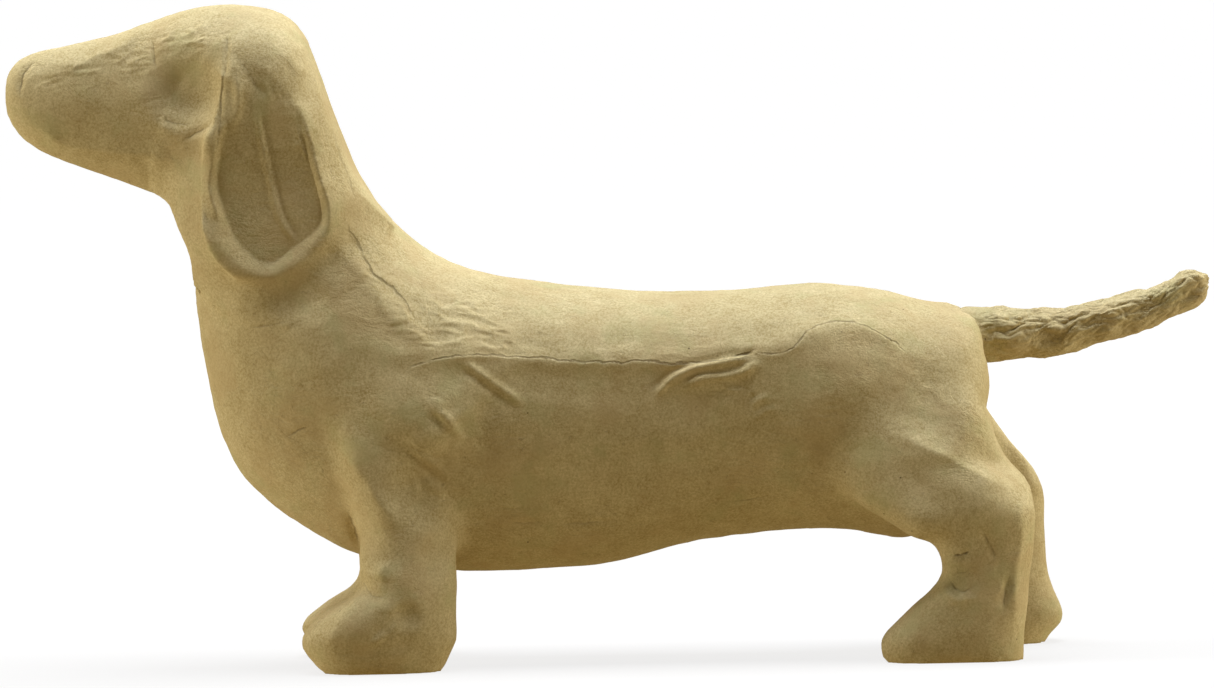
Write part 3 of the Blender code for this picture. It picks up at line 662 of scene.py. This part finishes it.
# The legs: the foreleg's edge and paw, then the hind shank, its back edge and the haunch's ridge
LEG_FOLDS = (
    Fold(FoldKind.EDGE, ((-53.5, 34.9), (-60.5, 45.2), (-66.0, 54.1), (-70.5, 60.5)), 3.6, 1.2),
    Fold(FoldKind.CREASE, ((-69.4, 42.5), (-67.4, 35.4), (-66.5, 29.8)), 1.1, 0.6, 0.35),
    Fold(FoldKind.CREASE, ((-67.0, 25.8), (-64.1, 21.8), (-61.5, 20.2), (-57.9, 20.2)), 1.5, 0.65, 0.2),
    Fold(FoldKind.RIDGE, ((-59.0, 29.0), (-60.2, 26.0), (-61.0, 23.6)), 1.1, 0.4),
    Fold(FoldKind.RIDGE, ((-75.1, 6.4), (-69.9, 12.9), (-63.6, 20.5)), 1.5, 0.5),
    Fold(FoldKind.RIDGE, ((-63.8, 7.8), (-61.4, 9.6), (-58.6, 11.6)), 0.8, 0.35),
    Fold(FoldKind.CREASE, ((-57.5, 16.6), (-54.0, 16.0), (-51.6, 17.6)), 1.6, 0.45, 0.15),
    Fold(FoldKind.RIDGE, ((-74.0, 4.6), (-62.0, 4.0), (-50.0, 5.4)), 1.3, 0.25),
    Fold(FoldKind.CREASE, ((87.0, 27.6), (89.0, 27.9), (92.4, 29.2)), 0.6, 0.55, 0.8),
    Fold(FoldKind.CREASE, ((94.4, 35.0), (96.9, 30.4), (98.2, 25.9)), 1.2, 0.5, 0.25),
    Fold(FoldKind.CREASE, ((84.6, 23.4), (87.6, 19.4), (90.4, 18.6), (93.5, 20.6)), 1.4, 0.7, 0.25),
    Fold(FoldKind.RIDGE, ((84.0, 19.6), (88.6, 16.6), (93.6, 17.4)), 1.2, 0.4),
    Fold(FoldKind.CREASE, ((101.5, 23.9), (100.7, 18.6), (99.6, 12.0)), 1.1, 0.5, 0.25),
    Fold(FoldKind.EDGE, ((105.2, 45.2), (104.8, 38.7), (104.4, 31.4), (103.0, 23.7), (102.6, 16.0),
                         (102.4, 3.7)), 2.6, 1.3, 0.0, 0.3),
    Fold(FoldKind.EDGE, ((107.8, 43.0), (102.4, 44.2), (96.8, 46.3), (92.2, 48.8), (85.8, 52.8),
                         (79.4, 56.0), (69.6, 61.7)), 4.2, 1.5, 0.0, 0.4),
    Fold(FoldKind.CREASE, ((70.6, 55.8), (75.4, 49.9), (81.0, 43.0)), 2.2, 0.35),
)
NEAR_FOLDS = FLANK_FOLDS + NECK_FOLDS + HEAD_FOLDS + LEG_FOLDS
# Back, forehead, muzzle, nape and neck, then the rump, loin, shoulder and paws
WRINKLES = (
    WrinklePatch((-40.0, 89.0), (26.0, 11.0), -12.0, 1.7, 0.42),
    WrinklePatch((-6.0, 84.0), (26.0, 7.0), -3.0, 1.7, 0.22),
    WrinklePatch((-107.0, 164.5), (14.0, 5.0), 5.0, 1.5, 0.5),
    WrinklePatch((-132.0, 156.5), (22.0, 5.5), 10.0, 1.6, 0.42),
    WrinklePatch((-84.0, 158.0), (12.0, 14.0), -58.0, 1.6, 0.34),
    WrinklePatch((-73.0, 138.0), (8.0, 20.0), -62.0, 1.8, 0.35),
    WrinklePatch((-66.0, 103.0), (15.0, 12.0), -40.0, 1.7, 0.32),
    WrinklePatch((84.0, 66.0), (22.0, 10.0), -22.0, 1.8, 0.36),
    WrinklePatch((30.0, 72.0), (22.0, 9.0), 12.0, 2.0, 0.25),
    WrinklePatch((-45.0, 60.0), (20.0, 22.0), -46.0, 2.4, 0.32),
    WrinklePatch((92.0, 20.0), (13.0, 15.0), 60.0, 2.2, 0.34),
    WrinklePatch((-62.0, 17.0), (16.0, 15.0), 45.0, 2.2, 0.34),
)
# The eye, the ear's foot, the shoulder and the hollow under it, the flank, then before the haunch,
# the front paw, the hind shank and the elbow. A depth below zero is a swelling
HOLLOWS = (
    Hollow((-107.3, 152.6), (13.5, 14.0), 2.9, 0.75, -0.7),
    Hollow((-80.0, 98.0), (11.0, 9.0), 1.4, 0.9, -0.5),
    Hollow((-53.0, 64.0), (23.0, 18.0), -2.6, 1.0),
    Hollow((-52.0, 46.0), (10.0, 13.0), 1.2, 0.9),
    Hollow((12.0, 85.0), (76.0, 15.0), -1.8, 1.0),
    Hollow((60.0, 58.0), (10.0, 16.0), 0.5),
    Hollow((-53.8, 15.0), (5.0, 4.5), 0.7),
    Hollow((-60.5, 22.0), (7.0, 4.5), 0.6),
    Hollow((90.0, 22.0), (6.0, 4.0), 0.8),
    Hollow((-46.0, 31.0), (5.0, 7.0), 0.4),
)
# The outline of the ear's pressed face, from its front edge round by its tip
EAR_FACE = ((-97.9, 141.0), (-100.2, 133.1), (-101.3, 126.4), (-98.4, 117.4), (-95.0, 111.2),
            (-88.1, 106.6), (-80.6, 110.9), (-74.2, 115.6), (-73.2, 119.8), (-74.8, 126.3),
            (-77.2, 135.5), (-79.1, 143.3), (-84.6, 149.8), (-89.6, 150.4), (-93.6, 146.0))


def turned_to_far(folds: tuple[Fold, ...]) -> tuple[Fold, ...]:
    """Return the folds for the side the photograph hides: alike, but no two strips lie the same."""
    return tuple(Fold(fold.kind, tuple((along + 1.6 * math.sin(0.11 * up + 1.0),
                                        up + 1.5 * math.sin(0.09 * along)) for along, up in fold.path),
                      fold.width, fold.height, fold.line_darkness_joints_and_shade, fold.waver) for fold in folds)


@dataclass
class PastedBody:
    """The dog's body: a moulded form pasted over with torn strips of kraft paper."""
    node: str = "body"
    name: str = "pasted_paper_body"
    slot: str = "kraft_paper_skin"
    voxel_mm: float = 1.3
    smoothing: int = 3
    bridge_smoothing: int = 32
    ear_surroundings: float = 17.0
    haunch_heights: tuple[float, float] = (80.0, 50.0)
    haunch_plane: tuple[tuple[float, float, float], ...] = (
        (60.0, 26.5, 28.0), (72.0, 24.9, 32.7), (80.0, 22.8, 33.6), (88.0, 21.3, 33.0),
        (92.0, 19.5, 31.7), (96.0, 15.2, 29.4), (102.0, 10.0, 25.0))
    fine_band: float = 1.9
    narrow_fold: float = 1.25
    strong_wrinkle: float = 0.4
    lump_mm: float = 17.0
    lump_height: float = 0.32
    dimple_mm: float = 5.5
    dimple_height: float = 0.12
    ripple_height: float = 0.12
    sole_height: float = 0.9
    waist: Fill = Fill((95.0, 63.0), (13.0, 8.5), 2.0)
    instep: Fill = Fill((-72.0, 13.5), (12.0, 8.5), 1.8)
    groin: Fill = Fill((78.5, 35.0), (7.0, 5.0), 2.6)
    tail_middle: float = 7.6
    collar_radius: float = 9.0
    collar_height: float = 0.5
    gap_depth: float = 1.2

    def build(self) -> bpy.types.Object:
        """Make the body.

        Returns:
            The finished piece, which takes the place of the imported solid.
        """
        piece = copy_of_node(self.node, self.name)
        apply_modifier(piece, "REMESH", mode="VOXEL", voxel_size=self.voxel_mm * MM)
        apply_modifier(piece, "SMOOTH", factor=0.5, iterations=self.smoothing)
        self.bridge_hollows(piece)
        self.refine(piece)
        self.work_over(piece)
        piece.data.shade_smooth()
        return piece

    def bridge_hollows(self, piece: bpy.types.Object) -> None:
        """Raise the skin where wet strips bridge a corner: beside the ears and over the haunches."""
        solid, normals = read_skin(piece.data)
        along, across, up = solid[:, 0], np.abs(solid[:, 1]), solid[:, 2]
        outward = normals[:, 1] * np.sign(solid[:, 1])
        ear = EarTray(EAR_FACE)
        inward = ear.measure(solid[:, (0, 2)])
        beside = (inward > -self.ear_surroundings) & (across > 3.0)
        across = np.where(beside, ear.run_out(across, inward, solid[:, (0, 2)]), across)
        places, upper, lower = np.array(self.haunch_plane).T
        top, foot = self.haunch_heights
        plane = np.interp(along, places, upper)
        plane += (top - up) / (top - foot) * (np.interp(along, places, lower) - plane)
        share = smooth_step(along, 68.0, 80.0) * smooth_step(outward, 0.1, 0.4)
        share *= smooth_step(up, foot - 1.0, foot + 5.0) * smooth_step(-up, -top - 4.0, 3.0 - top)
        across += share * (higher(across, plane, 2.0) - across)
        solid[:, 1] = np.sign(solid[:, 1]) * across
        write_skin(piece.data, solid)
        share = np.maximum(share, smooth_step(inward, -15.0, -9.0) * smooth_step(across, 3.0, 7.0))
        group = piece.vertex_groups.new(name="bridged")
        for row in np.flatnonzero(share > 0.02):
            group.add([int(row)], float(share[row]), "REPLACE")
        apply_modifier(piece, "SMOOTH", factor=0.5, iterations=self.bridge_smoothing, vertex_group="bridged")
        piece.vertex_groups.clear()

    def refine(self, piece: bpy.types.Object) -> None:
        """Cut the faces along narrow folds, ear walls and wrinkles in four, so that they come out crisp."""
        mesh = piece.data
        count = len(mesh.polygons)
        centres, normals = np.empty(count * 3), np.empty(count * 3)
        mesh.polygons.foreach_get("center", centres)
        mesh.polygons.foreach_get("normal", normals)
        solid, normals = centres.reshape(-1, 3) / MM, normals.reshape(-1, 3)
        chosen = np.zeros(count, bool)
        for flank in self.flanks():
            rows = np.flatnonzero(flank.facing(solid, normals) > 0.05)
            flat = solid[rows][:, (0, 2)]
            fine = np.zeros(len(rows), bool)
            for fold in flank.folds:
                if fold.width > self.narrow_fold and fold.kind is not FoldKind.EDGE:
                    continue
                close = fold.near(flat, self.fine_band)
                if len(close):
                    signed, _ = fold.measure(flat[close])
                    fine[close] |= np.abs(signed) < self.fine_band
            inward = flank.ear.measure(flat)
            fine |= (inward > -self.fine_band) & (inward < self.fine_band)
            for patch in flank.wrinkles:
                if patch.height >= self.strong_wrinkle:
                    fine |= patch.mask(solid[rows]) > 0.3
            chosen[rows] |= fine
        mesh.polygons.foreach_set("select", chosen)
        select_only(piece)
        bpy.context.tool_settings.mesh_select_mode = (False, False, True)
        bpy.ops.object.mode_set(mode="EDIT")
        bpy.ops.mesh.subdivide(number_cuts=1, ngon=False)
        bpy.ops.object.mode_set(mode="OBJECT")
        LOG.info("refined %d of %d faces", int(chosen.sum()), count)

    def work_over(self, piece: bpy.types.Object) -> None:
        """Move the skin by its lumps, folds, wrinkles and dents, and note where its dark lines are: lap
        joints, and painted shade along creases and in the gap under the tail.
        """
        mesh = piece.data
        solid, normals = read_skin(mesh)
        count = len(solid)
        out = self.all_over(solid)
        offset = np.full(count, 6.0)
        line_darkness_joints_and_shade = np.zeros(count)
        for index, flank in enumerate(self.flanks()):
            facing = flank.facing(solid, normals)
            rows = np.flatnonzero(facing > 0)
            local, strength = solid[rows], facing[rows]
            moved, local_offset, local_line_darkness = self.one_side(flank, local, 11.0 * index)
            out[rows] += strength * moved
            offset[rows] = local_offset
            line_darkness_joints_and_shade[rows] = local_line_darkness * strength
        out += self.tail_collar(solid) + self.fills(solid)
        # The gap under the tail's root is sunk, and given the dark line colour at full strength as painted
        # shade
        gap = self.tail_gap(solid)
        out -= self.gap_depth * gap
        offset, line_darkness_joints_and_shade = offset * (1.0 - gap), np.maximum(line_darkness_joints_and_shade, gap)
        free = smooth_step(solid[:, 2], 0.2, self.sole_height + 1.2)
        solid = solid + normals * (out * free)[:, None]
        solid[:, 2] = np.where(solid[:, 2] < 0.25, 0.0, solid[:, 2])
        write_skin(mesh, solid)
        # Where the dark lines lie and how dark they are: lap joints, and painted shade at creases and in the
        # tail's gap
        for name, values in (("dark_line_offset", offset), ("joint_and_shade_line_darkness", line_darkness_joints_and_shade)):
            layer = mesh.attributes.new(name, "FLOAT", "POINT")
            layer.data.foreach_set("value", values)

    def all_over(self, solid: np.ndarray) -> np.ndarray:
        """Return the handmade unevenness of the whole skin, in millimetres."""
        lumps = self.lump_height * noise_field(solid, (self.lump_mm,) * 3, 2, 4.7)
        dimples = self.dimple_height * noise_field(solid, (self.dimple_mm,) * 3, 3, 9.3)
        where = smooth_step(noise_field(solid, (24.0, 24.0, 24.0), 1, 2.2), -0.1, 0.35)
        bend = solid.copy()
        bend[:, 2] += 1.5 * noise_field(solid, (12.0, 12.0, 12.0), 1, 6.6)
        ripples = self.ripple_height * where * (ridge_field(bend, (11.0, 6.0, 2.6), 1.4) - 0.3)
        return lumps + dimples + ripples

    def flanks(self) -> tuple[Flank, Flank]:
        """Return both sides of the dog."""
        ear = EarTray(EAR_FACE)
        return (Flank(Side.NEAR, NEAR_FOLDS, WRINKLES, HOLLOWS, ear),
                Flank(Side.FAR, turned_to_far(NEAR_FOLDS), WRINKLES, HOLLOWS, ear))

    def one_side(self, flank: Flank, solid: np.ndarray,
                 seed: float) -> tuple[np.ndarray, np.ndarray, np.ndarray]:
        """Work over one side.

        Args:
            flank: The side's folds, wrinkles and dents.
            solid: The places that face that side, in millimetres.
            seed: Which part of the noise is read.

        Returns:
            How far each place moves out, its distance from the nearest dark line, and how dark that line is
            drawn: a joint at a lap, painted shade at a crease.
        """
        flat = solid[:, (0, 2)]
        sway = 0.5 * noise_field(solid, (4.0, 4.0, 4.0), 2, seed + 8.0)
        moved = np.zeros(len(solid))
        offset = np.full(len(solid), 6.0)
        line_darkness_joints_and_shade = np.zeros(len(solid))
        for fold in flank.folds:
            rows = fold.near(flat, 6.0 * fold.width + 3.0)
            if not len(rows):
                continue
            signed, strength = fold.measure(flat[rows])
            signed = signed + fold.waver * sway[rows]
            moved[rows] += fold.relief(signed, strength)
            if fold.line_darkness_joints_and_shade:
                closer = np.abs(signed) < np.abs(offset[rows])
                offset[rows] = np.where(closer, signed, offset[rows])
                line_darkness_joints_and_shade[rows] = np.where(closer, fold.line_darkness_joints_and_shade * strength, line_darkness_joints_and_shade[rows])
        inward = flank.ear.measure(flat) + 0.4 * sway
        moved += flank.ear.relief(inward, flat)
        for index, patch in enumerate(flank.wrinkles):
            moved += patch.relief(solid, seed + 1.7 * index)
        for hollow in flank.hollows:
            moved += hollow.relief(flat)
        return moved, offset, line_darkness_joints_and_shade

    def tail_collar(self, solid: np.ndarray) -> np.ndarray:
        """Return the low collar of pasted strips round the tail's root, in millimetres."""
        low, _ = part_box("tail")
        from_axis = np.hypot(solid[:, 1], solid[:, 2] - (low.z / MM + self.tail_middle))
        edge = self.collar_radius + 0.9 * noise_field(solid, (5.0, 5.0, 5.0), 2, 3.3)
        near = smooth_step(solid[:, 0], low.x / MM, low.x / MM + 6.0)
        return self.collar_height * near * smooth_step(edge - from_axis, -1.2, 1.2)

    def fills(self, solid: np.ndarray) -> np.ndarray:
        """Return how the rump's waist, the near instep and the near groin fill out, in millimetres."""
        along, near = solid[:, 0], -solid[:, 1]
        return (self.waist.relief(solid) * smooth_step(along, 78.0, 92.0)
                + self.instep.relief(solid) * smooth_step(near, 4.0, 9.0)
                + self.groin.relief(solid) * smooth_step(near, 2.0, 8.0))

    def tail_gap(self, solid: np.ndarray) -> np.ndarray:
        """Return 1 in the small open gap under the tail's root and 0 elsewhere."""
        low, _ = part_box("tail")
        away = np.hypot(solid[:, 2] - (low.z / MM - 0.2), solid[:, 1] * 0.35)
        return smooth_step(solid[:, 0], 92.0, 95.0) * smooth_step(away, 1.8, 0.7)

    def dress(self, piece: bpy.types.Object) -> None:
        """Give the body its paper, and tell the frame what it stands for."""
        piece.data.materials.append(PASTED_KRAFT.make())
        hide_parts(self.node)
        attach(piece, "root")


@dataclass
class RolledTail:
    """The dog's tail: paper rolled, crumpled lengthwise and pasted into the rump."""
    node: str = "tail"
    name: str = "rolled_paper_tail"
    slot: str = "crumpled_paper"
    voxel_mm: float = 0.34
    smoothing: int = 5
    crumple_height: float = 0.6
    fine_height: float = 0.45

    def build(self) -> bpy.types.Object:
        """Make the tail.

        Returns:
            The finished piece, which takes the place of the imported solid.
        """
        piece = copy_of_node(self.node, self.name)
        apply_modifier(piece, "REMESH", mode="VOXEL", voxel_size=self.voxel_mm * MM)
        apply_modifier(piece, "SMOOTH", factor=0.5, iterations=self.smoothing)
        self.crumple(piece)
        piece.data.shade_smooth()
        return piece

    def axis_height(self, solid: np.ndarray) -> np.ndarray:
        """Return how high the tail's middle line is at each place's distance along X."""
        along = solid[:, 0]
        edges = np.arange(along.min(), along.max() + 3.0, 3.0)
        steps = [solid[(along >= edge) & (along < edge + 3.0), 2] for edge in edges]
        known = [(edge + 1.5, (step.min() + step.max()) / 2) for edge, step in zip(edges, steps) if len(step)]
        return np.interp(along, *zip(*known))

    def crumple(self, piece: bpy.types.Object) -> None:
        """Press the tail's skin into sharp lengthwise crumples, and leave its plug plain."""
        mesh = piece.data
        solid, normals = read_skin(mesh)
        low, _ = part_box(self.node)
        free = smooth_step(solid[:, 0], low.x / MM + 11.0, low.x / MM + 17.0)
        bend = solid.copy()
        bend[:, 2] -= self.axis_height(solid)
        upper = smooth_step(bend[:, 2], -4.5, 0.5)
        swirl = noise_field(solid, (8.0, 5.0, 5.0), 2, 1.1)
        bend[:, 1] += 1.6 * swirl
        bend[:, 2] += 1.2 * noise_field(solid, (8.0, 5.0, 5.0), 2, 5.5)
        bend[:, 2] -= 0.12 * solid[:, 0]
        coarse = billow_field(bend, (7.5, 2.8, 2.8), 2.0)
        fine = billow_field(bend, (3.4, 1.2, 1.2), 7.0)
        lumps = noise_field(solid, (9.0, 6.0, 6.0), 2, 12.0)
        out = self.crumple_height * (coarse - 0.65) + self.fine_height * (fine - 0.65)
        out = out * (0.35 + 0.65 * upper) * (1.0 - 0.5 * smooth_step(normals[:, 2], 0.6, 0.95))
        out += 0.15 * lumps
        solid = solid + normals * (free * out)[:, None]
        write_skin(mesh, solid)
        for name, value in (("dark_line_offset", 6.0), ("joint_and_shade_line_darkness", 0.0)):
            layer = mesh.attributes.new(name, "FLOAT", "POINT")
            layer.data.foreach_set("value", np.full(len(solid), value))

    def dress(self, piece: bpy.types.Object) -> None:
        """Give the tail its paper, and tell the frame what it stands for."""
        piece.data.materials.append(CRUMPLED_KRAFT.make())
        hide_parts(self.node)
        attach(piece, "root")


# Torn strips of unbleached kraft paper, pasted flat: a matt, pale brown skin with fine grain.
PASTED_KRAFT = KraftPaper("pasted_kraft_paper", pale="D2BE89", deep="A48D57", warm="BAA06C", olive="AAA068")
# The same paper rolled and crumpled, with small sharp wrinkles; its deep, warm and olive tones are a little
# darker all over, as painted shade for its crumples.
CRUMPLED_KRAFT = KraftPaper("crumpled_kraft_paper", pale="D2BE89", deep="A18A54", warm="B69D69",
                            olive="A59A64", wrinkle_mm=1.6, wrinkle_height_mm=0.2, lap_height_mm=0.0)


@dataclass(frozen=True)
class SoftLight:
    """A large soft lamp that looks at the dog."""
    name: str
    place: tuple[float, float, float]
    size: tuple[float, float]
    power: float
    colour: tuple[float, float, float] = (1.0, 1.0, 1.0)

    def add(self, target: Vector) -> None:
        """Hang the lamp and turn it to the target."""
        lamp = bpy.data.lights.new(self.name, "AREA")
        lamp.color = self.colour
        lamp.shape = "RECTANGLE"
        lamp.size, lamp.size_y = self.size
        lamp.energy = self.power
        item = bpy.data.objects.new(self.name, lamp)
        item.location = self.place
        item.rotation_euler = (target - item.location).to_track_quat("-Z", "Y").to_euler()
        item.visible_camera = False
        bpy.context.scene.collection.objects.link(item)


@dataclass(frozen=True)
class Studio:
    """The white floor, the pale surroundings and the soft lamps round the dog."""
    floor_reach: float = 40.0
    floor_glow: float = 0.82
    glow_near: float = 0.2
    glow_far: float = 1.1
    floor_tint: tuple[float, float, float] = (0.128, 0.115, 0.092)
    # The colour of the floor's glow, painted bounce light for the dog
    bounce_tint: tuple[float, float, float] = (0.34, 0.268, 0.136)
    ambient_tint: tuple[float, float, float] = (0.015, 0.014, 0.012)
    lamps: tuple[SoftLight, ...] = (
        SoftLight("top_light", (0.0, 0.09, 1.1), (0.9, 0.70), 28.0, (0.70, 0.78, 1.0)),
        SoftLight("nose_side_light", (-1.3, -0.12, 0.19), (0.5, 0.3), 9.5),
        SoftLight("tail_side_light", (1.3, -0.12, 0.19), (0.5, 0.3), 10.5),
    )

    def build(self) -> None:
        """Lay the floor, set the world and hang the lamps."""
        bpy.ops.object.select_all(action="DESELECT")
        bpy.ops.mesh.primitive_plane_add(size=2 * self.floor_reach, location=(0.0, 0.0, 0.0))
        floor = bpy.context.active_object
        floor.name = "floor"
        floor.data.materials.append(self.floor_finish())
        self.set_world()
        for lamp in self.lamps:
            lamp.add(Vector((0.0, 0.0, 0.08)))

    def seen_directly(self, tree: bpy.types.NodeTree) -> bpy.types.NodeSocket:
        """Return 1 for rays from the camera, from gloss and through glass, and 0 for others."""
        path = add_node(tree, "ShaderNodeLightPath")
        both = add_node(tree, "ShaderNodeMath", {
            0: path.outputs["Is Camera Ray"], 1: path.outputs["Is Glossy Ray"]}, operation="MAXIMUM")
        return add_node(tree, "ShaderNodeMath", {
            0: both.outputs["Value"], 1: path.outputs["Is Transmission Ray"]},
            operation="MAXIMUM").outputs["Value"]

    def floor_finish(self) -> bpy.types.Material:
        """Make the floor: near white to the eye with a soft shadow; to the dog above it, grey and matt with a
        warm glow that stands in for light bounced off the floor.
        """
        material = bpy.data.materials.new("white_floor")
        material.use_nodes = True
        tree = material.node_tree
        tree.nodes.clear()
        matt = add_node(tree, "ShaderNodeBsdfDiffuse", {"Color": (*self.floor_tint, 1.0)})
        place = add_node(tree, "ShaderNodeTexCoord").outputs["Object"]
        away = add_node(tree, "ShaderNodeVectorMath", {0: place}, operation="LENGTH").outputs["Value"]
        strength = add_node(tree, "ShaderNodeMapRange", {
            "Value": away, "From Min": self.glow_near, "From Max": self.glow_far,
            "To Min": self.floor_glow, "To Max": 1.0}, interpolation_type="SMOOTHSTEP")
        glow = add_node(tree, "ShaderNodeEmission", {"Color": (1.0, 1.0, 1.0, 1.0),
                                                     "Strength": strength.outputs["Result"]})
        # A warm glow seen only by rays other than the camera's: painted bounce light for the dog's underside
        bounce_glow = add_node(tree, "ShaderNodeEmission", {"Color": (*self.bounce_tint, 1.0), "Strength": 1.0})
        lit = add_node(tree, "ShaderNodeAddShader", {0: matt.outputs["BSDF"], 1: glow.outputs["Emission"]})
        dim = add_node(tree, "ShaderNodeAddShader", {0: matt.outputs["BSDF"], 1: bounce_glow.outputs["Emission"]})
        choice = add_node(tree, "ShaderNodeMixShader", {
            0: self.seen_directly(tree), 1: dim.outputs["Shader"], 2: lit.outputs["Shader"]})
        add_node(tree, "ShaderNodeOutputMaterial", {"Surface": choice.outputs["Shader"]})
        return material

    def set_world(self) -> None:
        """Make the surroundings white to the eye and dimmer as light."""
        world = bpy.data.worlds.new("studio")
        world.use_nodes = True
        tree = world.node_tree
        tree.nodes.clear()
        dim = add_node(tree, "ShaderNodeBackground", {"Color": (*self.ambient_tint, 1.0), "Strength": 1.0})
        white = add_node(tree, "ShaderNodeBackground", {"Color": (1.0, 1.0, 1.0, 1.0), "Strength": 1.0})
        choice = add_node(tree, "ShaderNodeMixShader", {
            0: self.seen_directly(tree), 1: dim.outputs["Background"], 2: white.outputs["Background"]})
        add_node(tree, "ShaderNodeOutputWorld", {"Surface": choice.outputs["Shader"]})
        bpy.context.scene.world = world


@dataclass(frozen=True)
class PhotoCamera:
    """A long lens at the photograph's viewing angle, on an image of 1214 by 688."""
    distance: float = 2.2
    azimuth: float = 0.5
    elevation: float = 3.0
    roll: float = 1.197
    target_height: float = 0.085
    pixels_per_metre: float = 3825.0
    target_pixel: tuple[float, float] = (610.58, 334.07)
    image: tuple[int, int] = (1214, 688)
    film_mm: float = 36.0

    def build(self) -> None:
        """Place the camera so that the dog lands where the photograph shows it."""
        around, above, tilt = (math.radians(angle) for angle in (self.azimuth, self.elevation, self.roll))
        ahead = Vector((-math.sin(around) * math.cos(above), math.cos(around) * math.cos(above),
                        -math.sin(above)))
        right = Vector((math.cos(around), math.sin(around), 0.0))
        up = right.cross(ahead)
        image_right = math.cos(tilt) * right - math.sin(tilt) * up
        image_up = math.sin(tilt) * right + math.cos(tilt) * up
        off_right = (self.target_pixel[0] - self.image[0] / 2) / self.pixels_per_metre
        off_up = (self.image[1] / 2 - self.target_pixel[1]) / self.pixels_per_metre
        target = Vector((0.0, 0.0, self.target_height)) - off_right * image_right - off_up * image_up
        lens = bpy.data.cameras.new("photo_camera")
        lens.sensor_width = self.film_mm
        lens.lens = self.pixels_per_metre * self.distance / self.image[0] * self.film_mm
        lens.clip_end = 200.0
        camera = bpy.data.objects.new("photo_camera", lens)
        axes = Matrix((image_right, image_up, -ahead)).transposed().to_4x4()
        camera.matrix_world = Matrix.Translation(target - self.distance * ahead) @ axes
        bpy.context.scene.collection.objects.link(camera)
        bpy.context.scene.camera = camera


def main() -> None:
    """Build the camera, the studio, the body and the tail, in that order."""
    logging.basicConfig(level=logging.INFO, format="%(message)s")
    bpy.context.scene.view_settings.view_transform = "Standard"
    PhotoCamera().build()
    Studio().build()
    for maker in (PastedBody(), RolledTail()):
        piece = maker.build()
        maker.dress(piece)
        LOG.info("%s: %d faces", piece.name, len(piece.data.polygons))


if __name__ == "__main__":
    main()
